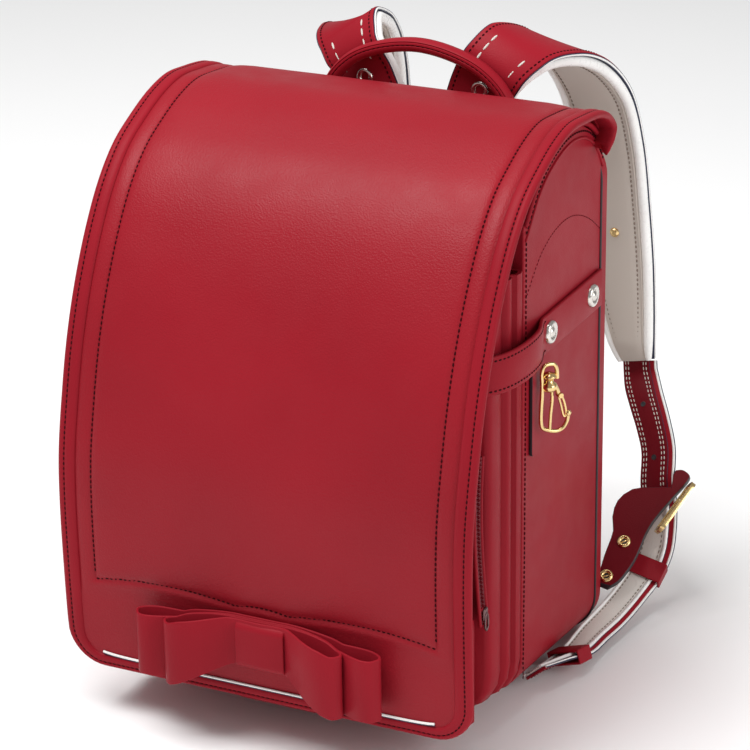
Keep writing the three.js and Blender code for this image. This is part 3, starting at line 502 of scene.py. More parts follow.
def slab(width: float, low: float, high: float, round_off: float = 0.8) -> list[tuple[float, float]]:
    """Returns a flat band's outline with rounded edges.

    Args:
        width: its width.
        low: its lower level.
        high: its upper level.
        round_off: its edges' radius.

    Returns:
        The closed outline, as pairs across and out of the face.
    """
    half = width / 2
    r = min(round_off, (high - low) / 2 - 0.01)
    k = r * 0.3
    return [(-half, low + r), (-half + k, low + k), (-half + r, low), (half - r, low), (half - k, low + k),
            (half, low + r), (half, high - r), (half - k, high - k), (half - r, high), (-half + r, high),
            (-half + k, high - k), (-half, high - r)]


def circle(radius: float, across: float = 0.0, out: float = 0.0, sides: int = 12,
           flat: float = 1.0) -> list[tuple[float, float]]:
    """Returns a round outline about a middle.

    Args:
        radius: its radius.
        across: its middle's place across.
        out: its middle's level.
        sides: its corners.
        flat: its height as a share of its width.

    Returns:
        The closed outline.
    """
    turns = [2 * math.pi * i / sides for i in range(sides)]
    return [(across + radius * math.cos(turn), out + radius * flat * math.sin(turn)) for turn in turns]


def tube(points: Sequence[Vector], radius: float, sides: int = 10, ring: bool = False) -> Shape:
    """Sweeps a round cord along points, turning it no more than it has to.

    Args:
        points: the cord's middle line.
        radius: half its thickness.
        sides: faces round it.
        ring: joins its ends.

    Returns:
        The cord.
    """
    side = Vector((0.0, 0.0, 1.0))
    first = (points[1] - points[0]).normalized()
    if abs(first.z) > 0.8:
        side = Vector((0.0, 1.0, 0.0))
    stations = []
    for i, point in enumerate(points):
        run = (points[min(i + 1, len(points) - 1)] - points[max(i - 1, 0)]).normalized()
        if ring and i in (0, len(points) - 1):
            run = (points[1] - points[-2]).normalized()
        side = (side - run * side.dot(run)).normalized()
        stations.append(Station(point, side, side.cross(run)))
    return swept(stations, lambda _: circle(radius, sides=sides), ring)


def lathe(profile: Sequence[tuple[float, float]], matrix: Matrix, steps: int = 24) -> Shape:
    """Spins a profile about its own Z axis.

    Args:
        profile: radius and height of each point.
        matrix: where the turned form stands.
        steps: faces round it.

    Returns:
        The turned form.
    """
    bm = bmesh.new()
    verts = [bm.verts.new((radius, 0.0, height)) for radius, height in profile]
    edges = [bm.edges.new(pair) for pair in zip(verts, verts[1:])]
    bmesh.ops.spin(bm, geom=verts + edges, cent=(0, 0, 0), axis=(0, 0, 1), dvec=(0, 0, 0), angle=2 * math.pi,
                   steps=steps, use_merge=True)
    bmesh.ops.remove_doubles(bm, verts=bm.verts, dist=1e-4)
    bmesh.ops.transform(bm, matrix=matrix, verts=bm.verts)
    return bm


def copied(node: str) -> Shape:
    """Returns a CAD node's shape in the drawing's millimetres, merged, its flat faces joined.

    Args:
        node: the node's name.

    Returns:
        The copy.
    """
    bm = bmesh.new()
    bm.from_mesh(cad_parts[node].data)
    bmesh.ops.remove_doubles(bm, verts=bm.verts, dist=1e-6)
    bmesh.ops.transform(bm, matrix=TO_DRAWING, verts=bm.verts)
    bmesh.ops.dissolve_limit(bm, angle_limit=math.radians(1.0), verts=bm.verts, edges=bm.edges)
    return bm


def softened(bm: Shape, size: float, segments: int = 3, sharp: float = 28.0) -> Shape:
    """Rounds a shape's sharp edges.

    Args:
        bm: the shape.
        size: how far the rounding reaches, in millimetres.
        segments: its steps.
        sharp: the angle in degrees from which an edge is rounded.

    Returns:
        The same shape, softened.
    """
    edges = [edge for edge in bm.edges if len(edge.link_faces) == 2
             and edge.calc_face_angle(0.0) > math.radians(sharp)]
    bmesh.ops.bevel(bm, geom=edges, offset=size, segments=segments, profile=0.5, affect="EDGES", material=-1,
                    clamp_overlap=True)
    return bm


def joined(parts: Iterable[Shape]) -> Shape:
    """Puts several shapes into one.

    Args:
        parts: the shapes, which are used up.

    Returns:
        One shape that holds them all.
    """
    whole = bmesh.new()
    for part in parts:
        mesh = bpy.data.meshes.new("part")
        part.to_mesh(mesh)
        part.free()
        whole.from_mesh(mesh)
        bpy.data.meshes.remove(mesh)
    return whole


def mirrored(bm: Shape) -> Shape:
    """Returns a copy of a shape on the bag's other side.

    Args:
        bm: the shape, which is kept.

    Returns:
        The mirrored copy, facing outwards.
    """
    other = bm.copy()
    bmesh.ops.scale(other, vec=(-1, 1, 1), verts=other.verts)
    bmesh.ops.reverse_faces(other, faces=other.faces)
    return other


def for_side(bm: Shape, side: str) -> Shape:
    """Returns a shape drawn on the right as it is, or mirrored for the side l."""
    return mirrored(bm) if side == "l" else bm


def piece(name: str, bm: Shape, finish: Finish, replaces: Sequence[str] = (), body: str = "bag",
          second: Finish | None = None, weighted: bool = False) -> bpy.types.Object:
    """Makes an object of a shape in the drawing's millimetres.

    Args:
        name: the object's name.
        bm: its shape, which is used up.
        finish: its material.
        replaces: the CAD nodes that it stands for.
        body: the body that it rides on.
        second: another material, for faces marked 1.
        weighted: gives flat faces their own shading beside rounded edges.

    Returns:
        The object.
    """
    bmesh.ops.recalc_face_normals(bm, faces=bm.faces)
    bmesh.ops.transform(bm, matrix=TO_FRAME, verts=bm.verts)
    for face in bm.faces:
        face.smooth = True
    mesh = bpy.data.meshes.new(name)
    bm.to_mesh(mesh)
    bm.free()
    mesh.set_sharp_from_angle(angle=math.radians(50.0))
    made = bpy.data.objects.new(name, mesh)
    bpy.context.scene.collection.objects.link(made)
    mesh.materials.append(finish.material())
    if second is not None:
        mesh.materials.append(second.material())
    if weighted:
        made.modifiers.new("Weighted", "WEIGHTED_NORMAL").keep_sharp = True
    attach(made, body)
    if replaces:
        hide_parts(*replaces)
    LOG.info("%s: %d faces", name, len(mesh.polygons))
    return made


def both_sides(name: str, bm: Shape, finish: Finish, replaces: Sequence[str] = (),
               body: str = "bag", second: Finish | None = None, weighted: bool = False) -> None:
    """Makes a piece on the right and its mirror image on the left.

    Args:
        name: the pieces' name without its side.
        bm: the right one's shape.
        finish: their material.
        replaces: the CAD nodes' names without their sides.
        body: the body without its side, or bag.
        second: another material, for faces marked 1.
        weighted: as for a piece.
    """
    other = mirrored(bm)
    for side, shape in (("r", bm), ("l", other)):
        nodes = [f"{node}_{side}" for node in replaces]
        carrier = body if body == "bag" else f"{body}_{side}"
        piece(f"{name}_{side}", shape, finish, nodes, carrier, second, weighted)


@dataclass(frozen=True)
class Stitch:
    """A row of sewn stitches: how far apart, how long, how thick and how deep they sit."""

    pitch: float = 3.2
    length: float = 2.5
    width: float = 1.35
    height: float = 0.5
    sunk: float = 0.0
    balls: int = 1

    def row(self, line: Line) -> Shape:
        """Sews a row along a line.

        Args:
            line: points with the normals of the leather under them.

        Returns:
            The stitches.
        """
        bm = bmesh.new()
        places = even(line, self.pitch)
        for (a, up), (b, over) in zip(places, places[1:]):
            run = (b - a).normalized()
            face = ((up + over) / 2).normalized()
            side = run.cross(face).normalized()
            middle = (a + b) / 2 - face * self.sunk
            matrix = own_frame(run * self.length / 2, side * self.width / 2, face * self.height, middle)
            bmesh.ops.create_icosphere(bm, subdivisions=self.balls, radius=1.0, matrix=matrix)
        return bm

    def rows(self, lines: Iterable[Line]) -> Shape:
        """Sews a row along each line given, as one shape."""
        return joined(self.row(line) for line in lines)


FINE = Stitch()
SADDLE = Stitch(7.2, 6.2, 1.5, 0.7, -0.1, 2)
FAINT = Stitch(2.8, 2.0, 0.8, 0.3)
DOUBLE = Stitch(3.4, 2.7, 0.8, 0.42)


def sewn(name: str, lines: Sequence[Line], finish: Finish, stitch: Stitch = FINE) -> None:
    """Makes one piece of all the stitch rows given."""
    piece(name, stitch.rows(lines), finish)


def upright_line(half: float, low: float, high: float, radius: float, y: float, normal: Vector,
                 steps: int = 8) -> Line:
    """Returns a rectangle with round corners standing across the bag.

    Args:
        half: half its width.
        low: its lowest height.
        high: its highest.
        radius: its corners' radius.
        y: its depth in the bag.
        normal: which way the surface under it looks.
        steps: points in each corner.

    Returns:
        The closed line, first point repeated last.
    """
    made = []
    for x_way, z_way, start in ((1, -1, 270), (1, 1, 0), (-1, 1, 90), (-1, -1, 180)):
        middle = Vector((x_way * (half - radius), y, (low + radius) if z_way < 0 else (high - radius)))
        for i in range(steps + 1):
            turn = math.radians(start + 90 * i / steps)
            made.append((middle + Vector((math.cos(turn), 0, math.sin(turn))) * radius, normal))
    made.append(made[0])
    return made


@dataclass
class Flap:
    """The long flap: leather cover with its padded panel, rolled rim, piping and stitches."""

    reach: float = 231.0
    bottom: float = 30.0
    rise: float = 335.0
    half: float = 135.5
    corner: float = 25.0
    panel_half: float = 113.0
    seam: float = 90.0
    hump: float = 4.5
    rim_width: float = 12.0
    piping_half: float = 111.0
    front_from: float = -150.0
    open_depth: float = 60.0
    cover_half: float = 124.8
    cover_back: float = 5.9
    cover_end: float = 6.5
    piping_up: float = 1.4
    tapered: int = 9
    taper: tuple[float, float] = (0.12, 0.58)
    narrow: float = 0.7
    hidden_ends: int = 14
    lower_top: float = 260.0
    rim_row: tuple[float, float] = (4.6, 0.6)
    seam_sunk: float = 1.7
    line_rows: Rows = (
        (0.058, 0.937), (0.091, 0.964), (0.156, 0.985), (0.277, 0.997), (0.364, 1.0), (0.455, 0.987),
        (0.558, 0.958), (0.645, 0.925), (0.727, 0.872), (0.801, 0.8), (0.87, 0.71), (0.922, 0.618),
        (0.961, 0.519), (0.991, 0.418), (1.0, 0.328), (0.998, 0.176), (0.987, 0.0))
    hinge_end: Rows = ((0.052, 0.912),)
    hinge_curl: Rows = ((0.135, 0.898), (0.1, 0.902), (0.071, 0.916))
    rim_section: Rows = (
        (11.6, 4.4), (11.0, 4.9), (3.0, 5.0), (1.0, 4.5), (0.0, 2.9), (0.4, 1.3), (1.4, 0.4), (2.8, 0.0),
        (3.9, 0.25), (4.6, 0.75), (5.3, 0.25), (6.8, -0.1), (9.0, 0.0), (10.6, 0.4), (11.6, 1.3), (11.9, 2.6))
    cover_depth: Rows = (
        (-12.0, 1.9), (-10.6, 1.8), (-9.4, 1.1), (-6.5, 0.7), (-3.5, 0.8), (-1.2, 1.3), (0.0, 1.95),
        (1.0, 1.2), (2.5, 0.6), (6.0, 0.05), (14.0, -0.4), (60.0, -0.5))
    below_depth: Rows = (
        (-45.0, 1.5), (-9.0, 1.45), (-6.5, 1.1), (-4.0, 0.65), (-2.0, 0.75), (-0.9, 1.3), (0.0, 1.95),
        (1.0, 1.2), (2.5, 0.6), (6.0, 0.05), (14.0, -0.4), (60.0, -0.5))
    lower: list[tuple[float, float, float, float]] = field(default_factory=list)

    def line(self, rows: Sequence[tuple[float, float]], count: int) -> list[tuple[Vector, Vector]]:
        """Returns the flap's outer line as points with outward normals.

        Args:
            rows: the line's rows as shares of its reach and rise.
            count: steps between two rows.

        Returns:
            Points at X = 0 with their normals.
        """
        curve = Spline((0.0, -reach * self.reach, self.bottom + rise * self.rise) for reach, rise in rows)
        points = curve.points(curve.spans * count)
        made = []
        for i, point in enumerate(points):
            run = (points[min(i + 1, len(points) - 1)] - points[max(i - 1, 0)]).normalized()
            made.append((point, Vector((0.0, run.z, -run.y))))
        return made

    def face(self, x: float, z: float, depth: float) -> tuple[Vector, Vector]:
        """Returns a point on the flap's lower front at a height, so deep under its face, and its normal.

        Args:
            x: the place across.
            z: the height.
            depth: how deep under the face.

        Returns:
            The point and the normal.
        """
        index = min(range(len(self.lower)), key=lambda i: abs(self.lower[i][1] - z))
        y, height, normal_y, normal_z = self.lower[index]
        beside = max(index - 1, 0) if z > height else min(index + 1, len(self.lower) - 1)
        other = self.lower[beside]
        way = 0.0 if other[1] == height else (z - height) / (other[1] - height)
        normal = Vector((0.0, normal_y, normal_z))
        return Vector((x, y + (other[0] - y) * way, z)) - normal * depth, normal

    def seam_height(self, x: float) -> float:
        """Returns the panel's lower seam at a place across: two wide humps and a small one between.

        Args:
            x: the place across.

        Returns:
            The seam's height.
        """
        cusp = 0.15 * self.panel_half
        if abs(x) < cusp:
            way = (x + cusp) / (2 * cusp)
            return self.seam + 1 + 2 * way * (1 - way) * 4
        way = (self.panel_half - min(abs(x), self.panel_half)) / (self.panel_half - cusp)
        start = self.seam * (1 - way) ** 2
        middle = 2 * way * (1 - way) * (self.seam + 2 * self.hump)
        return start + middle + way ** 2 * (self.seam + 1)

    def depth(self, x: float, z: float, front: bool) -> float:
        """Returns how deep the cover's face lies under the flap's line.

        Args:
            x: the place across.
            z: its height.
            front: whether it is on the upright front, where the panel's lower seam is.

        Returns:
            The depth in millimetres.
        """
        side = self.panel_half - abs(x)
        below = z - self.seam_height(x) if front else self.open_depth
        inside = min(side, below)
        rows = self.below_depth if below < side else self.cover_depth
        broad = noise.noise(Vector((x, z, 7.0)) * 0.017)
        fine = noise.noise(Vector((x, z, 3.0)) * 0.06)
        swell = 0.16 * broad + 0.05 * fine
        return table(rows, inside) + swell

    def columns(self) -> list[float]:
        """Returns the cover's places across, close together at the panel's edge."""
        near = [0, 9, 18, 27, 36, 45, 54, 63, 72, 81, 88, 94, 99, 103, 106, 108.5, 110.5, 111.6, 112.4, 113,
                113.6, 114.4, 115.6, 117.5, 120, 122.4, 123.6, 124.8]
        return [-x for x in reversed(near[1:])] + near

    def cover(self) -> Shape:
        """Returns the flap's leather with its padded panel, closed behind."""
        line = self.line([*self.hinge_end, *self.line_rows], 40)
        chosen = [line[0]]
        for point, normal in line:
            near_seam = point.y < self.front_from and self.seam - 6 < point.z < self.seam + 10
            step = 0.8 if near_seam else 5.0
            if (point - chosen[-1][0]).length >= step and point.z > self.bottom + self.cover_end + 1:
                chosen.append((point, normal))
        chosen.append(min(line, key=lambda item: abs(item[0].z - self.bottom - self.cover_end)))
        across = self.columns()
        behind = [self.cover_half, 60.0, 0.0, -60.0, -self.cover_half]
        count = len(across) + len(behind)

        def place(column: int, row: int) -> Vector:
            """Returns a point of the closed section at one row of the line."""
            point, normal = chosen[column]
            row = row % count
            if row < len(across):
                x = across[row]
                deep = self.depth(x, point.z, point.y < self.front_from)
                return point + Vector((x, 0, 0)) - normal * deep
            return point + Vector((behind[row - len(across)], 0, 0)) - normal * self.cover_back

        return bent_sheet(len(chosen) - 1, count, place, True, True)

    def rim_places(self) -> list[tuple[Callable[[float, float], tuple[Vector, Vector]], float]]:
        """Returns the rim's places from its right end round the bottom to its left end.

        Returns:
            For each place a call from inward distance and depth to a point with its normal, and the rim's
            width there as a share.
        """
        line = [row for row in self.line([*self.hinge_curl, *self.line_rows], 10)
                if row[0].z > self.bottom + self.corner]
        places = []

        def along(point: Vector, normal: Vector, way: int) -> Callable[[float, float], tuple[Vector, Vector]]:
            """Returns the call for a place on the rim's straight side."""
            def call(inward: float, deep: float) -> tuple[Vector, Vector]:
                """Returns the point on that side."""
                return point + Vector((way * (self.half - inward), 0, 0)) - normal * deep, normal
            return call

        def round_corner(turn: float, way: int) -> Callable[[float, float], tuple[Vector, Vector]]:
            """Returns the call for a place in a lower corner."""
            def call(inward: float, deep: float) -> tuple[Vector, Vector]:
                """Returns the point at a corner's turn."""
                reach = self.corner - inward
                x = self.half - self.corner + reach * math.cos(turn)
                return self.face(way * x, self.bottom + self.corner - reach * math.sin(turn), deep)
            return call

        def level(x: float) -> Callable[[float, float], tuple[Vector, Vector]]:
            """Returns the call for a place on the rim's bottom."""
            return lambda inward, deep: self.face(x, self.bottom + inward, deep)

        def width(turn: float) -> float:
            """Returns the rim's width as a share, at a corner's turn."""
            return 1.0 - (1 - self.narrow) * math.sin(turn) ** 2

        right = [(along(point, normal, 1), 1.0) for point, normal in line]
        left = [(along(point, normal, -1), 1.0) for point, normal in reversed(line)]
        turns = [math.pi / 2 * i / 10 for i in range(1, 10)]
        places += right
        places += [(round_corner(turn, 1), width(turn)) for turn in turns]
        straight = self.half - self.corner
        places += [(level(straight - 2 * straight * i / 26), self.narrow) for i in range(27)]
        places += [(round_corner(turn, -1), width(turn)) for turn in reversed(turns)]
        places += left
        first, growth = self.taper
        for i in range(self.tapered):
            share = first + growth * i / self.tapered
            for end in (i, -1 - i):
                places[end] = (places[end][0], share)
        return places

    def build(self) -> None:
        """Builds the flap, then all that is sewn to it."""
        line = self.line(self.line_rows, 20)
        self.lower = [(point.y, point.z, normal.y, normal.z) for point, normal in line
                      if point.z < self.lower_top]
        bottom = self.lower[-1]
        self.lower.append((bottom[0], self.bottom - 2, bottom[2], bottom[3]))
        piece("flap_cover", self.cover(), PANEL_RED, ("flap", "flap_panel"))
        places = self.rim_places()
        around = len(self.rim_section)

        def rim_point(column: int, row: int) -> Vector:
            """Returns a point of the rim's rolled section."""
            call, share = places[column]
            inward, deep = self.rim_section[row % around]
            return call(inward * share, deep * min(share / self.narrow, 1.0))[0]

        piece("flap_rim", bent_sheet(len(places) - 1, around, rim_point, True, True), RED, ("flap_binding",))
        inward, sunk = self.rim_row
        shown = places[self.hidden_ends:-self.hidden_ends]
        self.stitches([call(inward * share, sunk) for call, share in shown])
        self.piping()

    def stitches(self, rim_row: Line) -> None:
        """Sews the rim and the padded panel's seam.

        Args:
            rim_row: the line of the rim's own row.
        """
        upper = self.line([*self.hinge_end, *self.line_rows], 10)
        sides = []
        for way in (1, -1):
            edge = Vector((way * self.panel_half, 0, 0))
            sides.append([(point + edge - normal * self.seam_sunk, normal) for point, normal in upper
                          if point.y > self.front_from or point.z > self.seam])
        seam = []
        for i in range(121):
            x = self.panel_half * (1 - i / 60)
            seam.append(self.face(x, self.seam_height(x), self.seam_sunk))
        sewn("flap_stitches", [rim_row, *sides, seam], RED_THREAD)

    def piping(self) -> None:
        """Builds the white piping in the crease above the rim, with its dark edge."""
        height = self.bottom + self.rim_width * self.narrow + 0.7

        def run(low: float, deep: float) -> list[Vector]:
            """Returns a line so far below the piping's height, turned up at its ends, and so deep."""
            steps = [self.piping_half * (1 - i / 30) for i in range(61)]
            return [self.face(x, height - low + self.piping_up * (abs(x) / self.piping_half) ** 14, deep)[0]
                    for x in steps]

        piece("flap_piping", tube(run(0.0, 0.7), 0.75), WHITE, ("bottom_piping",))
        piece("flap_piping_edge", tube(run(1.1, 1.0), 0.55, 8), NAVY)


@dataclass
class Compartments:
    """The main compartment, the small one in front of it, the zipped pocket and the back panel."""

    side_line: Rows = (
        (-9.5, 323.0), (-13.0, 328.5), (-20.0, 337.5), (-30.0, 345.0), (-42.0, 350.0), (-61.0, 352.2),
        (-83.0, 348.0), (-106.0, 336.5), (-128.0, 312.5))
    low_arc: Rows = (
        (-12.0, 277.0), (-28.0, 288.0), (-45.0, 296.0), (-61.0, 300.0), (-76.0, 300.0), (-91.0, 297.0),
        (-106.0, 290.0), (-126.0, 272.0))
    pleats: Rows = (
        (-130.6, 122.0), (-132.2, 124.0), (-136.0, 124.9), (-139.8, 124.2), (-141.4, 121.2), (-142.4, 119.5),
        (-143.4, 121.4), (-145.0, 123.0), (-148.2, 123.6), (-151.2, 122.6), (-152.6, 119.6), (-153.6, 118.4),
        (-154.8, 120.2), (-157.0, 121.6), (-162.0, 122.0), (-168.0, 121.4), (-171.0, 120.4), (-172.6, 117.5))
    foot: Rows = ((0.0, 26.0), (3.0, 16.0), (9.0, 6.5), (18.0, 1.6), (28.0, 0.0))
    small_low: float = 3.0
    small_high: float = 290.0
    small_slope: float = 0.09
    small_wall: float = 2.4
    zip_side: float = 118.9
    zip_rows: Rows = ((-176.5, 84), (-180.5, 108), (-184.5, 140), (-185.0, 168),
                                                 (-183.0, 192))
    flank_welt: Rows = ((-180.4, 95.7), (-177.5, 91.1), (-170.3, 81.8),
                                                   (-162.9, 73.1))
    pull_rows: Triples = (
        (2.6, -1.6, 2.0), (2.8, -2.0, -5.0), (2.8, 0.0, -7.4), (2.8, 2.0, -5.0), (2.6, 1.6, 2.0),
        (2.6, 0.0, 3.4), (2.6, -1.6, 2.0))
    front_row: Rows = ((-127.0, 306.0), (-126.8, 200.0), (-127.0, 100.0),
                                                  (-128.0, 24.0))
    row_drop: float = 2.2
    pipe_drop: float = 6.4
    pipe_rise: float = 2.6
    dark_from: float = -34.0

    def side_row(self, rows: Sequence[tuple[float, float]], way: int, lift: float = 0.25) -> Line:
        """Returns a line on the main compartment's side through rows of depth and height."""
        curve = Spline((way * (HALF + lift), y, z) for y, z in rows)
        return [(point, Vector((way, 0, 0))) for point in curve.points(60)]

    def build(self) -> None:
        """Builds the compartments."""
        piece("main_case", softened(copied("main_body"), 1.1), RED, ("main_body",), weighted=True)
        piece("back_board", softened(copied("back_panel"), 1.6, 4), RED, ("back_panel",), weighted=True)
        self.small()
        self.pocket()
        self.seams()

    def small(self) -> None:
        """Builds the small compartment: side walls folded in pleats, a flat front and an open top."""
        low = self.small_low
        bend = low + self.foot[-1][0]
        heights = [(low + up, draw) for up, draw in self.foot]
        heights += [(bend + (self.small_high - bend) * i / 8, 0.0) for i in range(1, 9)]
        plan = [(x, y) for y, x in self.pleats]
        plan += [(-x, y) for x, y in reversed(plan)]
        count = len(plan)

        def place(column: int, row: int) -> Vector:
            """Returns a point of the folded wall."""
            x, y = plan[row % count]
            height, draw = heights[column]
            lift = self.small_slope * (BACK_SEAM - y)
            way = 1 if x > 0 else -1
            reach = max(abs(x) - draw, 0.0)
            return Vector((way * reach, y, height + lift if column < len(heights) - 1 else height))

        bm = bent_sheet(len(heights) - 1, count, place, True)
        bottom = [edge for edge in bm.edges if edge.is_boundary and edge.verts[0].co.z < 60]
        bmesh.ops.holes_fill(bm, edges=bottom, sides=0)
        bmesh.ops.recalc_face_normals(bm, faces=bm.faces)
        bmesh.ops.solidify(bm, geom=bm.faces[:], thickness=self.small_wall)
        piece("small_case", bm, RED, ("small_compartment",))

    def pocket(self) -> None:
        """Builds the front pocket with its zip."""
        piece("pocket_case", softened(copied("front_pocket"), 0.9), RED, ("front_pocket",), weighted=True)
        x = self.zip_side
        route = Spline((x, y, z) for y, z in self.zip_rows)
        points = route.points(40)
        side = Vector((0.0, -1.0, 0.0))
        stations = framed(points, lambda _: side, lambda _: 10.0)
        piece("zip_tape", swept(stations, lambda _: slab(9.4, -0.7, 0.7, 0.4)), TAPE, ("pocket_zipper",))
        teeth = bmesh.new()
        for i, (point, _) in enumerate(even([(point, side) for point in points], 1.35)):
            way = 1 if i % 2 else -1
            spot = point + Vector((0.9, way * 0.55, 0))
            matrix = Matrix.Translation(spot) @ Matrix.Diagonal((1.0, 1.5, 0.5, 1.0))
            bmesh.ops.create_icosphere(teeth, subdivisions=1, radius=1.0, matrix=matrix)
        piece("zip_teeth", teeth, DEEP_RED)
        edges = [tube([point + Vector((0.6, way * 4.9, 0)) for point in points], 1.15, 8) for way in (-1, 1)]
        edges.append(tube(Spline((x + 0.4, y, z) for y, z in self.flank_welt).points(16), 1.1, 8))
        piece("zip_welts", joined(edges), RED)
        self.slider(route.at(0.04))

    def slider(self, spot: Vector) -> None:
        """Builds the zip's slider and pull at a spot on the teeth."""
        body = bmesh.new()
        matrix = Matrix.Translation(spot + Vector((1.4, 0, 3))) @ Matrix.Diagonal((2.6, 5.6, 7.6, 1.0))
        bmesh.ops.create_cube(body, size=1.0, matrix=matrix)
        softened(body, 1.0, 3)
        loop = tube(Spline(spot + Vector(row) for row in self.pull_rows).points(36), 0.75, 8, True)
        piece("zip_pull", joined((body, loop)), DARK_METAL, ("zip_slider",))

    def seams(self) -> None:
        """Builds the body's pipings and stitch rows."""
        rows = []
        faint = []
        for way in (1, -1):
            rows.append(self.side_row([(y, z - self.row_drop) for y, z in self.side_line], way, 0.5))
            faint.append(self.side_row(self.low_arc, way, 0.1))
            rows.append(self.side_row(self.front_row, way))
        sewn("case_stitches", rows, RED_THREAD)
        sewn("arc_stitches", faint, TONAL_THREAD, FAINT)
        inner = [(y, z - self.pipe_drop) for y, z in self.side_line]
        pipes = []
        darks = []
        for way in (1, -1):
            arc = Spline((way * (HALF + 0.1), y, z) for y, z in inner).points(50)
            darks.append(tube([point for point in arc if point.y > self.dark_from], 0.6, 8))
            pipes.append(tube(arc, 0.9, 8))
            edge = Spline((way * (HALF - 0.2), y, z + self.pipe_rise) for y, z in self.side_line).points(50)
            pipes.append(tube(edge, 1.7, 8))
        ahead = Vector((0, -1, 0))
        outline = upright_line(HALF + 0.1, 0.6, BACK_HEIGHT - 0.6, CORNER, BACK_SEAM + 0.2, ahead, 10)
        darks.append(tube([point for point, _ in outline], 0.9, 8, True))
        piece("case_piping", joined(pipes), RED)
        piece("back_piping", joined(darks), EDGE_AND_SHADE)


@dataclass
class Bow:
    """The bow: two pairs of open loops standing out of a knot."""

    centre: float = 73.6
    offset: float = 4.0
    leather: float = 1.6
    pinch: float = 4.0
    knot_width: float = 32.0
    knot_height: float = 34.0
    knot_wall: float = 1.8
    droop: float = 11.0
    front_length: float = 57.0
    back_length: float = 79.0
    knot_drop: float = 3.0
    front_round: float = 5.6
    back_round: float = 2.2
    back_rows: Triples = (
        (0, 0, 0), (0.235, 0, 0), (0.4, 0.06, 0), (0.55, 0.22, 0), (0.68, 0.5, 0), (0.8, 0.82, 0.02),
        (0.9, 1, 0.1), (0.965, 0.93, 0.28), (1, 0.64, 0.48))
    front_rows: Triples = (
        (0, 0, 0), (0.325, 0, 0), (0.45, 0.3, 0.01), (0.6, 0.7, 0.05), (0.75, 0.95, 0.15), (0.87, 1.0, 0.3),
        (0.96, 0.9, 0.46), (1, 0.72, 0.6))

    def loop(self, rows: Sequence[tuple[float, float, float]], length: float, depth: float, height: float,
             base: float) -> Shape:
        """Returns a loop to the right of the knot.

        Args:
            rows: its plan as shares: along, front wall, back wall.
            length: how far it reaches.
            depth: how far it bulges.
            height: the leather's height.
            base: the depth in the bag of its back wall.

        Returns:
            The closed band.
        """
        bulge = depth - self.pinch
        half = self.leather / 2
        front = [Vector((along * length, -self.pinch + half - share * bulge, 0)) for along, share, _ in rows]
        back = [Vector((along * length, -half - share * bulge, 0)) for along, _, share in reversed(rows)]
        tip = (front[-1] + back[0]) / 2 + Vector((0.8, 0, 0))
        points = Spline([*front, tip, *back]).points(84)
        held = self.knot_width / 2 + self.offset / 2
        neck = (self.knot_height - 2 * self.knot_wall - 1.2) / height
        stations = framed(points, lambda _: Vector((0, 0, 1)), lambda _: height)
        for station in stations:
            along = max(station.point.x - held + 4.0, 0.0) / (self.front_length - held)
            share = neck + (1 - neck) * min(along * 1.2, 1.0)
            station.width = height * share
            fall = self.droop * min(along, 1.0) ** 1.3
            station.point += Vector((self.offset / 2, base, self.centre - fall))
        return swept(stations, lambda i: slab(stations[i].width, -half, half, 0.65))

    def build(self) -> None:
        """Builds the loops and the knot."""
        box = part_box("bow_knot")
        face = box[1].y / MM - BAG_SHIFT
        in_front = self.knot_wall + 0.6 + self.pinch
        for name, rows, length, depth, height, base in (
                ("bow_back", self.back_rows, self.back_length, 16.0, 40.0, self.knot_wall + 0.3),
                ("bow_front", self.front_rows, self.front_length, 17.0, 41.0, in_front)):
            right = self.loop(rows, length, depth, height, face - base)
            left = right.copy()
            bmesh.ops.translate(left, vec=(-self.offset / 2, 0, 0), verts=left.verts)
            bmesh.ops.scale(left, vec=(-1, 1, 1), verts=left.verts)
            bmesh.ops.translate(left, vec=(self.offset / 2, 0, 0), verts=left.verts)
            bmesh.ops.reverse_faces(left, faces=left.faces)
            piece(name, joined((right, left)), RED, (f"{name}_loops",))
        self.knot(face, box[0].y / MM - BAG_SHIFT, box[0].z / MM, box[1].z / MM - self.knot_drop)

    def knot(self, face: float, front: float, low: float, high: float) -> None:
        """Builds the knot: a leather band wrapped round the loops' middles.

        Args:
            face: the depth in the bag of its back.
            front: the depth of its front.
            low: its lowest height.
            high: its highest.
        """
        ring = []
        for y, z, start in ((face, low, 0), (front, low, 270), (front, high, 180), (face, high, 90)):
            radius = self.front_round if y == front else self.back_round
            y_way = 1 if y == front else -1
            z_way = 1 if z == low else -1
            middle = Vector((self.offset, y + y_way * radius, z + z_way * radius))
            for i in range(9):
                turn = math.radians(start - 90 * i / 8)
                ring.append(middle + Vector((0, math.cos(turn), math.sin(turn))) * radius)
        ring.append(ring[0])
        across = Vector((1, 0, 0))
        stations = []
        for i, point in enumerate(ring):
            run = (ring[(i + 1) % (len(ring) - 1)] - ring[i - 1 if i else -2]).normalized()
            stations.append(Station(point, across, across.cross(run)))
        band = swept(stations, lambda _: slab(self.knot_width, -0.2 - self.knot_wall, -0.2, 0.7), True)
        piece("bow_band", band, RED, ("bow_knot",))


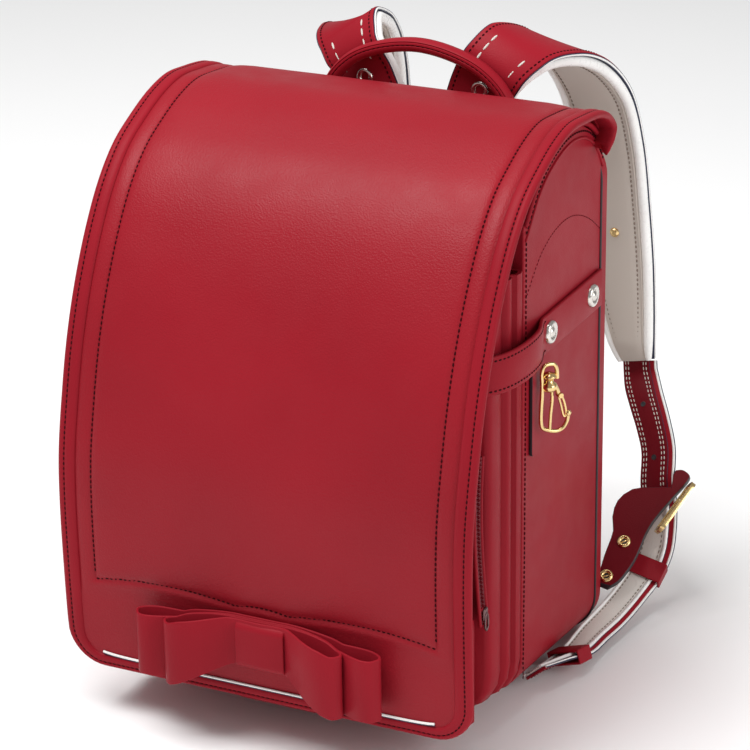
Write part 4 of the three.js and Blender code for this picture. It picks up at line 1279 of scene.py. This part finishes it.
@dataclass
class Straps:
    """The two shoulder straps with their pads, lower ends, tails and keepers."""

    swing: float = 112.0
    width: float = 47.0
    leather: float = 2.4
    pad: float = 9.3
    lower_width: float = 21.0
    route: tuple[tuple[float, ...], ...] = (
        (.25, .02679, .9702, .85, 2, 0), (.317, .025, 1.048, .86, -8, 0), (.39, .03571, 1.094, .9, -14, 0),
        (.458, .1518, 1.121, .96, -18, 4), (.5242, .3929, 1.11, 1, -17, 6), (.5766, .6518, 1.062, 1, -13, 6),
        (.625, .8571, .9821, 1, -8, 5), (.6613, .9598, .875, 1, -3, 3), (.6935, 1, .744, 1, 0, 0),
        (.7339, 1.013, .619, .94, 3, -2), (.7823, 1.004, .5119, .78, 6, -4),
        (.8347, .9821, .4256, .56, 9, -5))
    lower: tuple[tuple[float, ...], ...] = (
        (.8367, .9808, .4232, 1, 9, -5), (.848, .9634, .3994, 1, 9, -5), (.909, .8661, .3705, 1, 9, -5),
        (.998, .75, .3271, 1, 8, -8), (1.056, .6696, .2872, 1, 7, -8), (1.085, .5804, .2321, 1, 6, -8),
        (1.117, .5268, .1964, 1, 4, -6), (1.133, .4821, .1607, 1, 0, -5), (1.137, .4286, .119, 1, -6, -5),
        (1.125, .3393, .08631, .94, -13, 0), (1.101, .1964, .0625, .86, -18, 8),
        (1.077, -.02679, .04613, .84, -14, 14), (1.047, -.25, .03661, .84, -4, 15),
        (1.034, -.4643, .03214, .84, 8, 15), (.9984, -.6786, .03929, .84, 26, 14),
        (.9556, -.875, .04464, .84, 38, 12))
    crest_shift: tuple[float, float, float] = (0.021, 0.017, -0.006)
    crest_lean: float = -3.7
    crest_turn: float = 16.2
    roll_radius: float = 3.3
    saddle: tuple[int, int] = (11, 28)
    tail_start: float = 0.38
    hole_stations: tuple[int, int] = (17, 31)
    hole_form: Rows = (
        (0.0, 0.18), (1.2, 0.22), (1.5, 0.3), (1.8, 0.2), (1.9, -0.4))
    ring_form: Rows = (
        (2.6, -0.4), (3.0, 0.6), (3.9, 1.5), (5.0, 1.5), (5.8, 0.7), (6.0, -0.2))
    stud_form: Rows = (
        (0.0, 1.6), (1.4, 1.5), (2.4, 1.0), (2.6, 0.5), (3.2, 0.3), (3.3, -0.6))
    ring_station: int = 17
    stud_station: int = 153
    pad_rows: Rows = (
        (-1, 0.45), (-0.93, 0.62), (-0.86, 0.86), (-0.8, 0.82), (-0.7, 0.9), (-0.45, 0.97), (0, 1.0))
    keepers: tuple[tuple[str, float], ...] = (("upper", 0.6), ("lower", 0.893))
    keeper_out: float = 1.2
    keeper_width: float = 0.94

    def stations(self, route: Sequence[Sequence[float]], steps: int, width: float) -> list[Station]:
        """Returns a route's stations.

        Args:
            route: rows of place shares, width share, lean and turn.
            steps: how many steps.
            width: the full width.

        Returns:
            The stations from first row to last.
        """
        places = Spline((x * HALF, y * self.swing, z * BACK_HEIGHT) for x, y, z, *_ in route)
        forms = Spline(row[3:] for row in route)
        shares = [i / steps for i in range(steps + 1)]

        def across(i: int) -> Vector:
            """Returns the width direction at a step."""
            _, lean, turn = forms.at(shares[i])
            lean, turn = math.radians(lean), math.radians(turn)
            return Vector((math.cos(lean) * math.cos(turn), math.cos(lean) * math.sin(turn), math.sin(lean)))

        return framed([places.at(share) for share in shares], across, lambda i: forms.at(shares[i]).x * width)

    def left_route(self) -> list[tuple[float, ...]]:
        """Returns the left strap's route as if on the right, a little higher over its crest."""
        made = []
        for i, (x, y, z, width, lean, turn) in enumerate(self.route):
            share = math.sin(math.pi * min(i / 7, 1))
            x, y, z = (value + shift * share for value, shift in zip((x, y, z), self.crest_shift))
            made.append((x, y, z, width, lean + self.crest_lean * share, turn + self.crest_turn * share))
        return made

    def edge_rows(self, stations: Sequence[Station], inset: float, out: float, face: int = 1) -> list[Line]:
        """Returns the lines along both edges, so far in from them and out of the middle.

        Args:
            stations: the strap.
            inset: how far in.
            out: the level.
            face: 1 for the outer face, -1 for the inner one.

        Returns:
            The two lines.
        """
        rows = []
        for way in (-1, 1):
            rows.append([(s.spot(way * (s.width / 2 - inset), out), s.out * face) for s in stations])
        return rows

    def shoulder(self, side: str, route: Sequence[Sequence[float]]) -> None:
        """Builds one shoulder strap, drawn on the right and mirrored for the left.

        Args:
            side: r or l.
            route: its rows.
        """
        stations = self.stations(route, 120, self.width)
        root = next(i for i, s in enumerate(stations) if s.point.z > BACK_HEIGHT - 3)
        stations = stations[root:]
        face = swept(stations, lambda i: slab(stations[i].width, 0.55, self.leather, 0.7))
        piece(f"strap_face_{side}", for_side(face, side), RED, (f"strap_leather_{side}",))
        core = swept(stations, lambda i: slab(stations[i].width + 0.9, -0.6, -0.1, 0.2))
        core = joined([core, *self.edge_rolls(stations, 0.4, 0.35, 1.2)])
        piece(f"strap_edge_{side}", for_side(core, side), NAVY)
        white = joined(self.edge_rolls(stations, 0.75, 0.2, 0.45))
        piece(f"strap_piping_{side}", for_side(white, side), WHITE)
        self.shoulder_pad(side, stations)
        self.shoulder_stitches(side, stations)

    def edge_rolls(self, stations: Sequence[Station], radius: float, beyond: float,
                   out: float) -> list[Shape]:
        """Returns a thin roll for each edge of a strap, so far beyond it and out of the middle.

        Args:
            stations: the strap.
            radius: the roll's radius.
            beyond: how far past the edge.
            out: its level.

        Returns:
            The two rolls.
        """
        rolls = []
        for way in (-1, 1):
            rolls.append(swept(stations, lambda i, way=way: circle(
                radius, way * (stations[i].width / 2 + beyond), out, 8)))
        return rolls

    def shoulder_pad(self, side: str, stations: Sequence[Station]) -> None:
        """Builds the foam pad under one shoulder strap, with the white rolls beside it.

        Args:
            side: r or l.
            stations: the strap from its root to its narrow end.
        """
        last = len(stations) - 1

        def swell(i: int) -> float:
            """Returns how full the pad is: it closes over its last five stations."""
            return min((last - i) / 5.0, 1.0) ** 0.5 if i < last else 0.15

        def pad_section(i: int) -> list[tuple[float, float]]:
            """Returns the pad's outline: flat on the leather, crowned inside, pulled in at its seams."""
            half = stations[i].width / 2 - 3.0
            depth = self.pad * (0.35 + 0.65 * swell(i))
            inner = [(half * a, -depth * d) for a, d in self.pad_rows]
            other = [(-a, d) for a, d in reversed(inner[:-1])]
            return [*inner, *other, (half, -0.45), (0, -0.4), (-half, -0.45)]

        def roll_section(i: int, way: int) -> list[tuple[float, float]]:
            """Returns a roll's outline at one edge of the pad."""
            radius = self.roll_radius * (0.45 + 0.55 * swell(i))
            return circle(radius, way * (stations[i].width / 2 - 2.6), -1.0 - radius, 14, 1.12)

        pad = for_side(swept(stations, pad_section), side)
        made = piece(f"strap_pad_{side}", pad, BEIGE, (f"strap_padding_{side}",))
        rolls = joined(swept(stations, lambda i, way=way: roll_section(i, way)) for way in (-1, 1))
        piece(f"strap_roll_{side}", for_side(rolls, side), WHITE)

    def shoulder_stitches(self, side: str, stations: Sequence[Station]) -> None:
        """Sews one shoulder strap.

        Args:
            side: r or l.
            stations: the strap from its root to its narrow end.
        """
        fine = FINE.rows(self.edge_rows(stations, 2.9, self.leather))
        piece(f"strap_stitches_{side}", for_side(fine, side), RED_THREAD)
        pale = FINE.rows(self.edge_rows(stations[:-6], 8.2, -self.pad * 0.88, -1))
        piece(f"pad_stitches_{side}", for_side(pale, side), PALE_THREAD)
        first, last = self.saddle
        saddle = SADDLE.rows(row[first:last] for row in self.edge_rows(stations, 9.4, self.leather))
        piece(f"saddle_stitches_{side}", for_side(saddle, side), WHITE_THREAD)

    def layer(self, stations: Sequence[Station], left: float, right: float, low: float,
              high: float) -> Shape:
        """Returns one layer of the narrow strap, between two places across it and two levels.

        Args:
            stations: the strap.
            left: its one edge.
            right: its other edge.
            low: its lower level.
            high: its upper level.

        Returns:
            The layer.
        """
        middle = (left + right) / 2
        outline = [(middle + a, o) for a, o in slab(right - left, low, high, 0.6)]
        return swept(stations, lambda i: [(a * stations[i].width / self.lower_width, o) for a, o in outline])

    def roll(self, stations: Sequence[Station], across: float, out: float,
             radius: float) -> Shape:
        """Returns a round edge of the narrow strap, at a place across it and a level.

        Args:
            stations: the strap.
            across: the place.
            out: the level.
            radius: its radius.

        Returns:
            The edge.
        """
        share = across / self.lower_width
        return swept(stations, lambda i: circle(radius, share * stations[i].width, out, 10))

    def lower_straps(self) -> None:
        """Builds the narrow straps behind the buckle leather with their tails."""
        count = 110
        stations = self.stations(self.lower, count, self.lower_width)
        half = self.lower_width / 2
        start = round(self.tail_start * count)
        head, tail = stations[:start + 1], stations[start:]
        both_sides("tail_face", self.layer(stations, -half, half + 1.4, 1.45, 3.2), RED, ("lower_strap",))
        navy = [self.layer(stations, -half - 0.3, half - 1.5, 1.05, 1.5),
                self.roll(stations, half + 2.7, 2.9, 0.5)]
        both_sides("tail_edge", joined(navy), NAVY)
        both_sides("tail_piping", self.roll(stations, half + 1.9, 2.3, 0.85), WHITE)
        both_sides("tail_lining", self.layer(tail, -half + 1.0, half - 3.2, 0.0, 1.1), CUSHION)
        both_sides("tail_back", self.layer(head, -half + 0.2, half - 1.6, 0.0, 1.1), DEEP_RED)
        rolls = [self.roll(tail, across, 0.25, 1.25) for across in (-half + 0.9, half - 2.9)]
        both_sides("tail_roll", joined(rolls), WHITE)
        rows = []
        for inset in (2.2, 4.2):
            rows.append([(s.spot(-half + inset, -0.05), -s.out) for s in head])
            rows.append([(s.spot(half - 1.6 - inset, -0.05), -s.out) for s in head])
        both_sides("tail_stitches", DOUBLE.rows(rows), WHITE_THREAD)
        pale = [[(s.spot(across * s.width / self.lower_width, -0.05), -s.out) for s in tail]
                for across in (-half + 3.6, half - 5.6)]
        both_sides("lining_stitches", DOUBLE.rows(pale), PALE_THREAD)
        both_sides("tail_face_stitches", FINE.rows(self.edge_rows(stations, 3.0, 3.2)), RED_THREAD)
        self.holes(stations)
        for name, share in self.keepers:
            self.keeper(name, share)

    def holes(self, stations: Sequence[Station]) -> None:
        """Builds dark discs where the holes are punched through the narrow strap: their dark is painted
        shade.
        """
        # No hole is cut: each dark disc is painted shade standing for the inside of a hole.
        punched = [self.fitting(stations[index], self.hole_form, -1, -1.0, 0.0, 16)
                   for index in self.hole_stations]
        both_sides("strap_hole_shade", joined(punched), EDGE_AND_SHADE)

    def fitting(self, spot: Station, form: Sequence[tuple[float, float]], way: int, across: float, out: float,
                steps: int = 24) -> Shape:
        """Returns a turned fitting on a strap.

        Args:
            spot: the station that it stands at.
            form: its profile.
            way: 1 to look out of the strap's face, -1 out of its back.
            across: its place across the strap.
            out: its place out of the strap's middle.
            steps: faces round it.

        Returns:
            The fitting.
        """
        along = spot.across.cross(spot.out) * -way
        return lathe(form, own_frame(spot.across, along, spot.out * way, spot.spot(across, out)), steps)

    def keeper(self, name: str, share: float) -> None:
        """Builds a keeper round the narrow strap.

        Args:
            name: upper or lower.
            share: its place along the strap.
        """
        spot = self.stations(self.lower, 200, self.lower_width)[round(share * 200)]
        own = own_frame(spot.across, spot.out, spot.across.cross(spot.out), spot.point)
        ring = copied(f"keeper_{name}_r")
        narrower = Matrix.Diagonal((self.keeper_width, 1.0, 1.0, 1.0))
        moved = own @ Matrix.Translation((self.keeper_out, 0, 0)) @ narrower @ own.inverted()
        bmesh.ops.transform(ring, matrix=moved, verts=ring.verts)
        softened(ring, 0.7, 3, 50.0)
        both_sides(f"strap_keeper_{name}", ring, RED, (f"keeper_{name}",), weighted=True)

    def fittings(self) -> None:
        """Builds the eyelets at the straps' roots and the studs on their pads."""
        for side, route in (("r", self.route), ("l", self.left_route())):
            stations = self.stations(route, 200, self.width)
            ring = self.fitting(stations[self.ring_station], self.ring_form, 1, 0, self.leather)
            piece(f"strap_ring_{side}", for_side(ring, side), SILVER, (f"strap_eyelet_{side}",))
            stud = self.fitting(stations[self.stud_station], self.stud_form, -1, 1, -self.pad)
            piece(f"pad_stud_{side}", for_side(stud, side), GOLD, (f"strap_stud_{side}",))

    def build(self) -> None:
        """Builds both straps."""
        self.shoulder("r", self.route)
        self.shoulder("l", self.left_route())
        self.lower_straps()
        self.fittings()


@dataclass
class BuckleLeathers:
    """The gourd-shaped leathers at the back corners with their eyelets and wire buckles."""

    width: float = 31.7
    length: float = 95.0
    thickness: float = 4.0
    outline: Rows = (
        (5.5, -8.5), (9.0, -1.2), (9.9, 7.2), (9.5, 16.8), (7.5, 27.0), (5.2, 36.0), (4.3, 44.0), (4.5, 53.7),
        (5.2, 61.5), (5.9, 68.8), (6.8, 76.0), (7.1, 82.1), (6.3, 85.2), (3.7, 86.4), (-0.4, 86.4),
        (-3.9, 84.2))
    tip: Rows = (
        (-3.6, 80.5), (-1.6, 77.0), (0.4, 72.3), (-8.0, 67.2), (-15.9, 62.5), (-20.6, 58.4), (-23.6, 52.0),
        (-24.3, 46.5), (-23.3, 41.0), (-20.6, 35.0), (-17.4, 31.0), (-14.4, 27.0), (-12.6, 22.0),
        (-10.9, 15.6), (-9.2, 9.6), (-7.6, 4.9), (-5.6, -0.4), (-3.6, -5.0), (-2.0, -9.5))

    def matrix(self) -> Matrix:
        """Returns the right leather's own frame: across, along and out of its face."""
        root = Vector((HALF + 1.5, 8.5, 33.5))
        tip = Vector((HALF + 26, 68, 81.3))
        along = (tip - root).normalized()
        across = Vector((0.93, -0.23, -0.28))
        across = (across - along * across.dot(along)).normalized()
        return own_frame(across, along, across.cross(along), root)

    def plate(self) -> None:
        """Builds the leather with its painted edge: an outline extruded to its thickness."""
        smooth = Spline((across, along, 0.0) for across, along in self.outline).points(110)
        bm = bmesh.new()
        corners = [bm.verts.new(point) for point in [*smooth, *[Vector((*row, 0.0)) for row in self.tip]]]
        sheet = bm.faces.new(corners)
        grown = bmesh.ops.extrude_face_region(bm, geom=[sheet])
        top = [item for item in grown["geom"] if isinstance(item, bmesh.types.BMVert)]
        bmesh.ops.translate(bm, vec=(0, 0, self.thickness), verts=top)
        bmesh.ops.recalc_face_normals(bm, faces=bm.faces)
        bm.normal_update()
        for item in bm.faces:
            item.material_index = 1 if abs(item.normal.z) < 0.5 else 0
        rims = [edge for edge in bm.edges if len(edge.link_faces) == 2 and edge.calc_face_angle(0.0) > 1.2
                and abs(edge.verts[0].co.z - edge.verts[1].co.z) < 0.1]
        bmesh.ops.bevel(bm, geom=rims, offset=0.6, segments=3, profile=0.5, affect="EDGES", material=-1,
                        clamp_overlap=True)
        bmesh.ops.transform(bm, matrix=self.matrix(), verts=bm.verts)
        everything = bm.verts[:] + bm.edges[:] + bm.faces[:]
        bmesh.ops.bisect_plane(bm, geom=everything, plane_co=(0, 0.35, 0), plane_no=(0, -1, 0),
                               clear_outer=True)
        bmesh.ops.holes_fill(bm, edges=bm.edges, sides=0)
        both_sides("buckle_leather", bm, DEEP_RED, ("daruma",), second=EDGE_AND_SHADE, weighted=True)

    def eyelets(self) -> None:
        """Builds the slotted gold eyelets, with a dark disc of painted shade in each opening."""
        ring = [(1.7, -0.6), (1.9, 0.5), (2.6, 1.3), (3.5, 1.5), (4.3, 0.9), (4.5, -0.2)]
        shade_disc = [(0.0, 0.05), (1.8, 0.1), (1.9, -0.4)]
        places = {"low": (0.02, -0.018), "high": (-0.11, 0.255)}
        for name, (across, along) in places.items():
            place = Matrix.Translation((across * self.width, along * self.length, self.thickness + 0.2))
            spot = self.matrix() @ place
            bar = bmesh.new()
            slant = Matrix.Rotation(math.radians(50), 4, "Z") @ Matrix.Diagonal((2.3, 0.55, 0.5, 1.0))
            bmesh.ops.create_icosphere(bar, subdivisions=2, radius=1.0, matrix=spot @ slant)
            both_sides(f"eyelet_{name}", joined((lathe(ring, spot), bar)), GOLD, (f"daruma_eyelet_{name}",))
            # The dark disc in the opening is painted shade.
            both_sides(f"eyelet_{name}_core", lathe(shade_disc, spot), EDGE_AND_SHADE)

    def buckle(self) -> None:
        """Builds the wire buckle on edge with its prong."""
        shape = copied("buckle_frame_r")
        softened(shape, 0.8, 3, 35.0)
        both_sides("buckle_wire", shape, GOLD, ("buckle_frame",))
        both_sides("buckle_pin", softened(copied("buckle_prong_r"), 0.3, 2), GOLD, ("buckle_prong",))

    def build(self) -> None:
        """Builds both leathers."""
        self.plate()
        self.eyelets()
        self.buckle()


@dataclass
class Belt:
    """The cinch belt round the front compartments with its rivets."""

    bulge: float = 6.4
    bottom: float = 228.0
    height: float = 24.0
    thickness: float = 2.4
    flank: Rows = (
        (0.016, 0), (0.3, 0), (0.55, 0), (0.59, 0.02), (0.63, 0.36), (0.69, 0.82), (0.785, 1), (0.897, 0.72),
        (0.971, 0.1))
    face: Rows = ((0.946, 0.62), (0.84, 0.14), (0.68, 0.02), (0, 0))
    rivets: tuple[float, ...] = (0.157, 0.712)
    rivet_reach: float = 119.0
    row_inset: float = 2.8
    hidden_ends: int = 22
    ring_form: Rows = ((3.6, 0.9), (4.6, 1.9), (6.2, 1.9), (7.1, 1.0), (7.3, -0.5))
    cap_form: Rows = ((0.0, 2.6), (1.6, 2.4), (2.9, 1.7), (3.6, 0.8), (3.8, -0.2))

    def build(self) -> None:
        """Builds the belt."""
        side = HALF + 0.3
        front = SMALL_FRONT - 0.6
        depth = BACK_SEAM - SMALL_FRONT
        half = [(side + out * self.bulge, BACK_SEAM - along * depth, 0.0) for along, out in self.flank]
        half += [(across * HALF, front - out * self.bulge, 0.0) for across, out in self.face]
        other = [(-x, y, z) for x, y, z in reversed(half[:-1])]
        points = Spline([*half, *other]).points(220)
        line = [point for point, _ in even([(point, Vector((0, 0, 1))) for point in points], 4.0)]
        middle = self.bottom + self.height / 2
        line = [Vector((point.x, point.y, middle)) for point in line]
        stations = framed(line, lambda _: Vector((0, 0, 1)), lambda _: self.height)
        band = swept(stations, lambda _: slab(self.height, 0.0, self.thickness, 0.9))
        piece("belt_band", band, RED, ("cinch_belt",))
        rows = []
        for way in (-1, 1):
            row = way * (self.height / 2 - self.row_inset)
            shown = stations[self.hidden_ends:-self.hidden_ends]
            rows.append([(s.spot(row, self.thickness), s.out) for s in shown])
        sewn("belt_stitches", rows, RED_THREAD)
        for i, place in enumerate(self.rivets, 1):
            spot = Vector((side + 0.3 + self.thickness, BACK_SEAM - place * self.rivet_reach, middle))
            matrix = Matrix.Translation(spot) @ Matrix.Rotation(math.radians(90), 4, "Y")
            rivet = joined((lathe(self.ring_form, matrix), lathe(self.cap_form, matrix)))
            both_sides(f"rivet_ring_{i}", rivet, SILVER, (f"belt_rivet_{i}",))


@dataclass
class Hooks:
    """The snap hooks on their leather tabs."""

    place: float = -115.5
    tab_bottom: float = 169.0
    turn: float = 50.0
    frame_line: Rows = (
        (2.8, 16.3), (2.3, 22.4), (0.6, 25.3), (-2.4, 25.9), (-5.6, 25.2), (-7.2, 21.5), (-7.0, 14.0),
        (-7.1, 7.3), (-7.6, -2.2), (-7.7, -9.0), (-6.7, -13.6), (-2.4, -16.2), (3.0, -17.4), (7.0, -16.0),
        (9.7, -11.8), (10.3, -7.6))
    inner_line: Rows = (
        (-0.6, 9.0), (-0.4, 2.9), (-1.2, -5.0), (-1.6, -11.0), (-1.8, -15.8))
    arm_line: Rows = ((1.0, 12.4), (2.6, 9.8), (3.8, 6.4))
    gate_line: Rows = (
        (3.7, 4.9), (5.4, -1.0), (7.0, -7.4), (7.8, -8.9), (8.8, -8.6), (9.0, -6.9), (7.9, -0.8), (5.9, 4.9))
    tip_form: Rows = ((0.0, -2.0), (1.4, -1.5), (2.0, 0.0), (1.4, 1.5), (0.0, 2.0))
    block_form: Rows = (
        (0.0, 8.6), (2.6, 8.8), (4.2, 10.2), (4.9, 12.2), (4.3, 13.8), (2.7, 14.8), (2.4, 16.2), (3.6, 17.2),
        (4.2, 18.6), (3.2, 20.2), (1.2, 21.0), (0.0, 21.0))
    barrel_form: Rows = (
        (0.0, -2.4), (1.5, -2.4), (1.7, -1.8), (1.7, 1.8), (1.5, 2.4), (0.0, 2.4))

    def matrix(self) -> Matrix:
        """Returns the right hook's own frame."""
        spot = Vector((HALF + 0.3 + 2.2 + 8.1, self.place + 5.0, self.tab_bottom + 31.6))
        return Matrix.Translation(spot) @ Matrix.Rotation(math.radians(self.turn), 4, "Z")

    def cord(self, rows: Sequence[tuple[float, float]], radius: float, count: int) -> Shape:
        """Returns a round wire through rows of the hook's own plane."""
        bm = tube(Spline((x, 0.0, z) for x, z in rows).points(count), radius, 12)
        bmesh.ops.transform(bm, matrix=self.matrix(), verts=bm.verts)
        return bm

    def build(self) -> None:
        """Builds the tabs, hooks and gates."""
        tab = copied("hook_tab_r")
        softened(tab, 0.4, 2, 40.0)
        tab.normal_update()
        for item in tab.faces:
            item.material_index = 0 if item.normal.x > 0.6 else 1
        both_sides("tab_leather", tab, RED, ("hook_tab",), second=EDGE_AND_SHADE, weighted=True)
        form = self.cord(self.frame_line, 1.25, 120)
        inner = self.cord(self.inner_line, 1.0, 24)
        arm = self.cord(self.arm_line, 1.3, 10)
        own = self.matrix()
        tip = lathe(self.tip_form, own @ Matrix.Translation((10.4, 0.0, -7.2)), 16)
        block = lathe(self.block_form, own @ Matrix.Translation((-2.3, 0.0, 0.0)))
        pin = own @ Matrix.Translation((4.6, 0.0, 5.4)) @ Matrix.Rotation(math.radians(90), 4, "X")
        barrel = lathe(self.barrel_form, pin, 16)
        both_sides("hook_form", joined((form, inner, arm, tip, block, barrel)), GOLD, ("hook_body",))
        gate = self.cord(self.gate_line, 0.75, 48)
        both_sides("gate_wire", gate, GOLD, ("hook_gate",), "gate")


@dataclass
class Grip:
    """The handle, the anchor plate under it and the cushion on the back."""

    span: float = 124.0
    rise: float = 40.0
    place: float = -5.6
    rows: Rows = ((1, 0), (0.985, 0.17), (0.88, 0.46), (0.6, 0.79), (0, 1))
    grip_front: Rows = (
        (-4.6, -2.4), (-4.95, -1.2), (-5.0, -0.2), (-4.25, 0.35), (-4.95, 0.9), (-4.8, 1.8), (-4.0, 2.15),
        (-4.35, 2.8), (-3.4, 3.7))
    channel_place: float = 34.0
    channel_levels: tuple[float, float] = (104.0, 208.0)
    plate: tuple[float, float, float] = (67.0, 293.7, 335.7)
    plate_inset: float = 3.0

    def handle(self) -> None:
        """Builds the handle: a stuffed leather arc with a sewn groove down its middle."""
        base = BACK_HEIGHT + 0.9
        half = [(self.span / 2 * out, self.place, base + self.rise * rise) for out, rise in self.rows]
        other = [(-x, y, z) for x, y, z in reversed(half[:-1])]
        points = Spline([*half, *other]).points(90)
        stations = framed(points, lambda _: Vector((0, 1, 0)), lambda _: 10.0)
        front = list(self.grip_front)
        other_side = [(-a, o) for a, o in reversed(front)]
        section = [*front, (0.0, 4.25), *other_side, (2.9, -4.0), (0.0, -4.25), (-2.9, -4.0)]
        piece("handle_grip", swept(stations, lambda _: section), RED, ("handle",))
        inner = [[(s.spot(way * 4.55, 0.35), s.across * way) for s in stations[4:-4]] for way in (-1, 1)]
        sewn("handle_stitches", inner, RED_THREAD, Stitch(3.4, 2.4, 0.7, 0.3))

    def cushion(self) -> None:
        """Builds the padded back with its sewn channels."""
        half, low, high, depth = 102.6, 24.4, 291.6, 11.6
        columns, rows = 84, 108
        far = 99.0

        def place(column: int, row: int) -> Vector:
            """Returns a point of the quilted face."""
            u = column / columns * 2 - 1
            v = row / rows * 2 - 1
            bend = (abs(u) ** 8 + abs(v) ** 8) ** 0.125 / max(abs(u), abs(v), 1e-6)
            x = half * u / max(bend, 1e-6)
            z = (low + high) / 2 + (high - low) / 2 * v / max(bend, 1e-6)
            edge = max(1 - max(abs(u), abs(v)) ** 6, 0.0) ** 0.5
            channel = abs(abs(x) - self.channel_place)
            level = far
            if abs(x) > self.channel_place:
                level = min(abs(z - height) for height in self.channel_levels)
            groove = 1 - 0.55 * math.exp(-(channel / 7.0) ** 2) - 0.45 * math.exp(-(level / 6.0) ** 2)
            return Vector((x, 0.35 + depth * edge * max(groove, 0.2), z))

        bm = bent_sheet(columns, rows, place)
        bmesh.ops.holes_fill(bm, edges=bm.edges, sides=0)
        made = piece("back_cushion", bm, CUSHION, ("back_pad",))

    def build(self) -> None:
        """Builds the handle, its plate and the cushion."""
        self.handle()
        piece("anchor_plate", softened(copied("strap_anchor"), 1.0, 3), RED, ("strap_anchor",), weighted=True)
        plate_half, low, high = self.plate
        inset = self.plate_inset
        plate = upright_line(plate_half - inset, low + inset, high - inset, 7.0, 5.3, Vector((0, 1, 0)))
        sewn("anchor_stitches", [plate], RED_THREAD)
        self.cushion()


@dataclass
class Lock:
    """The flap's tongue under the bag and the lock that takes it."""

    def build(self) -> None:
        """Builds the tongue and the lock."""
        piece("lock_strap", softened(copied("lock_tongue"), 0.8, 3), RED, ("lock_tongue",), weighted=True)
        piece("lock_case", softened(copied("lock_body"), 1.2, 4), GOLD, ("lock_body",), weighted=True)


@dataclass
class Studio:
    """The camera, the pale floor and the soft lights."""

    lens: float = 143.27
    sensor: float = 36.0
    aim_height: float = 0.18
    surround: float = 0.36
    floor_half: float = 6.0
    lamp_size: float = 1.6
    lamps: tuple[tuple[str, tuple[float, float, float], float], ...] = (
        ("key", (-0.5, -0.6, 2.4), 66.0), ("fill", (2.6, -0.3, 1.2), 31.0))
    place: tuple[float, float, float] = (0.75256, -1.54386, 0.88155)
    axes: Triples = (
        (0.900616, 0.434417, -0.013121), (-0.153128, 0.345422, 0.92587), (0.406746, -0.831845, 0.377614))

    def light(self, name: str, place: Sequence[float], power: float) -> None:
        """Adds a soft square light that looks at the bag.

        Args:
            name: the light's name.
            place: where it stands.
            power: its power in watts.
        """
        data = bpy.data.lights.new(name, "AREA")
        data.size = self.lamp_size
        data.energy = power
        lamp = bpy.data.objects.new(name, data)
        lamp.location = place
        aim = Vector((0.0, 0.0, self.aim_height)) - Vector(place)
        lamp.rotation_euler = aim.to_track_quat("-Z", "Y").to_euler()
        bpy.context.scene.collection.objects.link(lamp)

    def build(self) -> None:
        """Builds the studio."""
        camera = bpy.data.cameras.new("camera")
        camera.lens = self.lens
        camera.sensor_width = self.sensor
        eye = bpy.data.objects.new("camera", camera)
        eye.matrix_world = Matrix.Translation(self.place) @ Matrix(self.axes).transposed().to_4x4()
        bpy.context.scene.collection.objects.link(eye)
        bpy.context.scene.camera = eye
        bm = bmesh.new()
        bmesh.ops.create_grid(bm, x_segments=8, y_segments=8, size=self.floor_half)
        mesh = bpy.data.meshes.new("floor")
        bm.to_mesh(mesh)
        bm.free()
        floor = bpy.data.objects.new("floor", mesh)
        bpy.context.scene.collection.objects.link(floor)
        sheet = Sheet("pale_floor")
        sheet.link(sheet.blend(sheet.cloud(2.0), (0.94, 0.94, 0.94), (0.95, 0.95, 0.95)), "Base Color")
        sheet.set(Roughness=0.9, Specular_IOR_Level=0.1)
        mesh.materials.append(sheet.material)
        world = bpy.data.worlds.new("surroundings")
        world.use_nodes = True
        world.node_tree.nodes["Background"].inputs["Color"].default_value = (1.0, 1.0, 1.0, 1.0)
        world.node_tree.nodes["Background"].inputs["Strength"].default_value = self.surround
        bpy.context.scene.world = world
        bpy.context.scene.view_settings.view_transform = "Standard"
        for name, place, power in self.lamps:
            self.light(name, place, power)


def main() -> None:
    """Builds the satchel piece by piece, then the studio."""
    logging.basicConfig(level=logging.INFO, format="%(message)s")
    for part in (Studio(), Flap(), Compartments(), Bow(), Straps(), BuckleLeathers(), Belt(), Hooks(), Grip(),
                 Lock()):
        LOG.info("building %s", type(part).__name__)
        part.build()


if __name__ == "__main__":
    main()
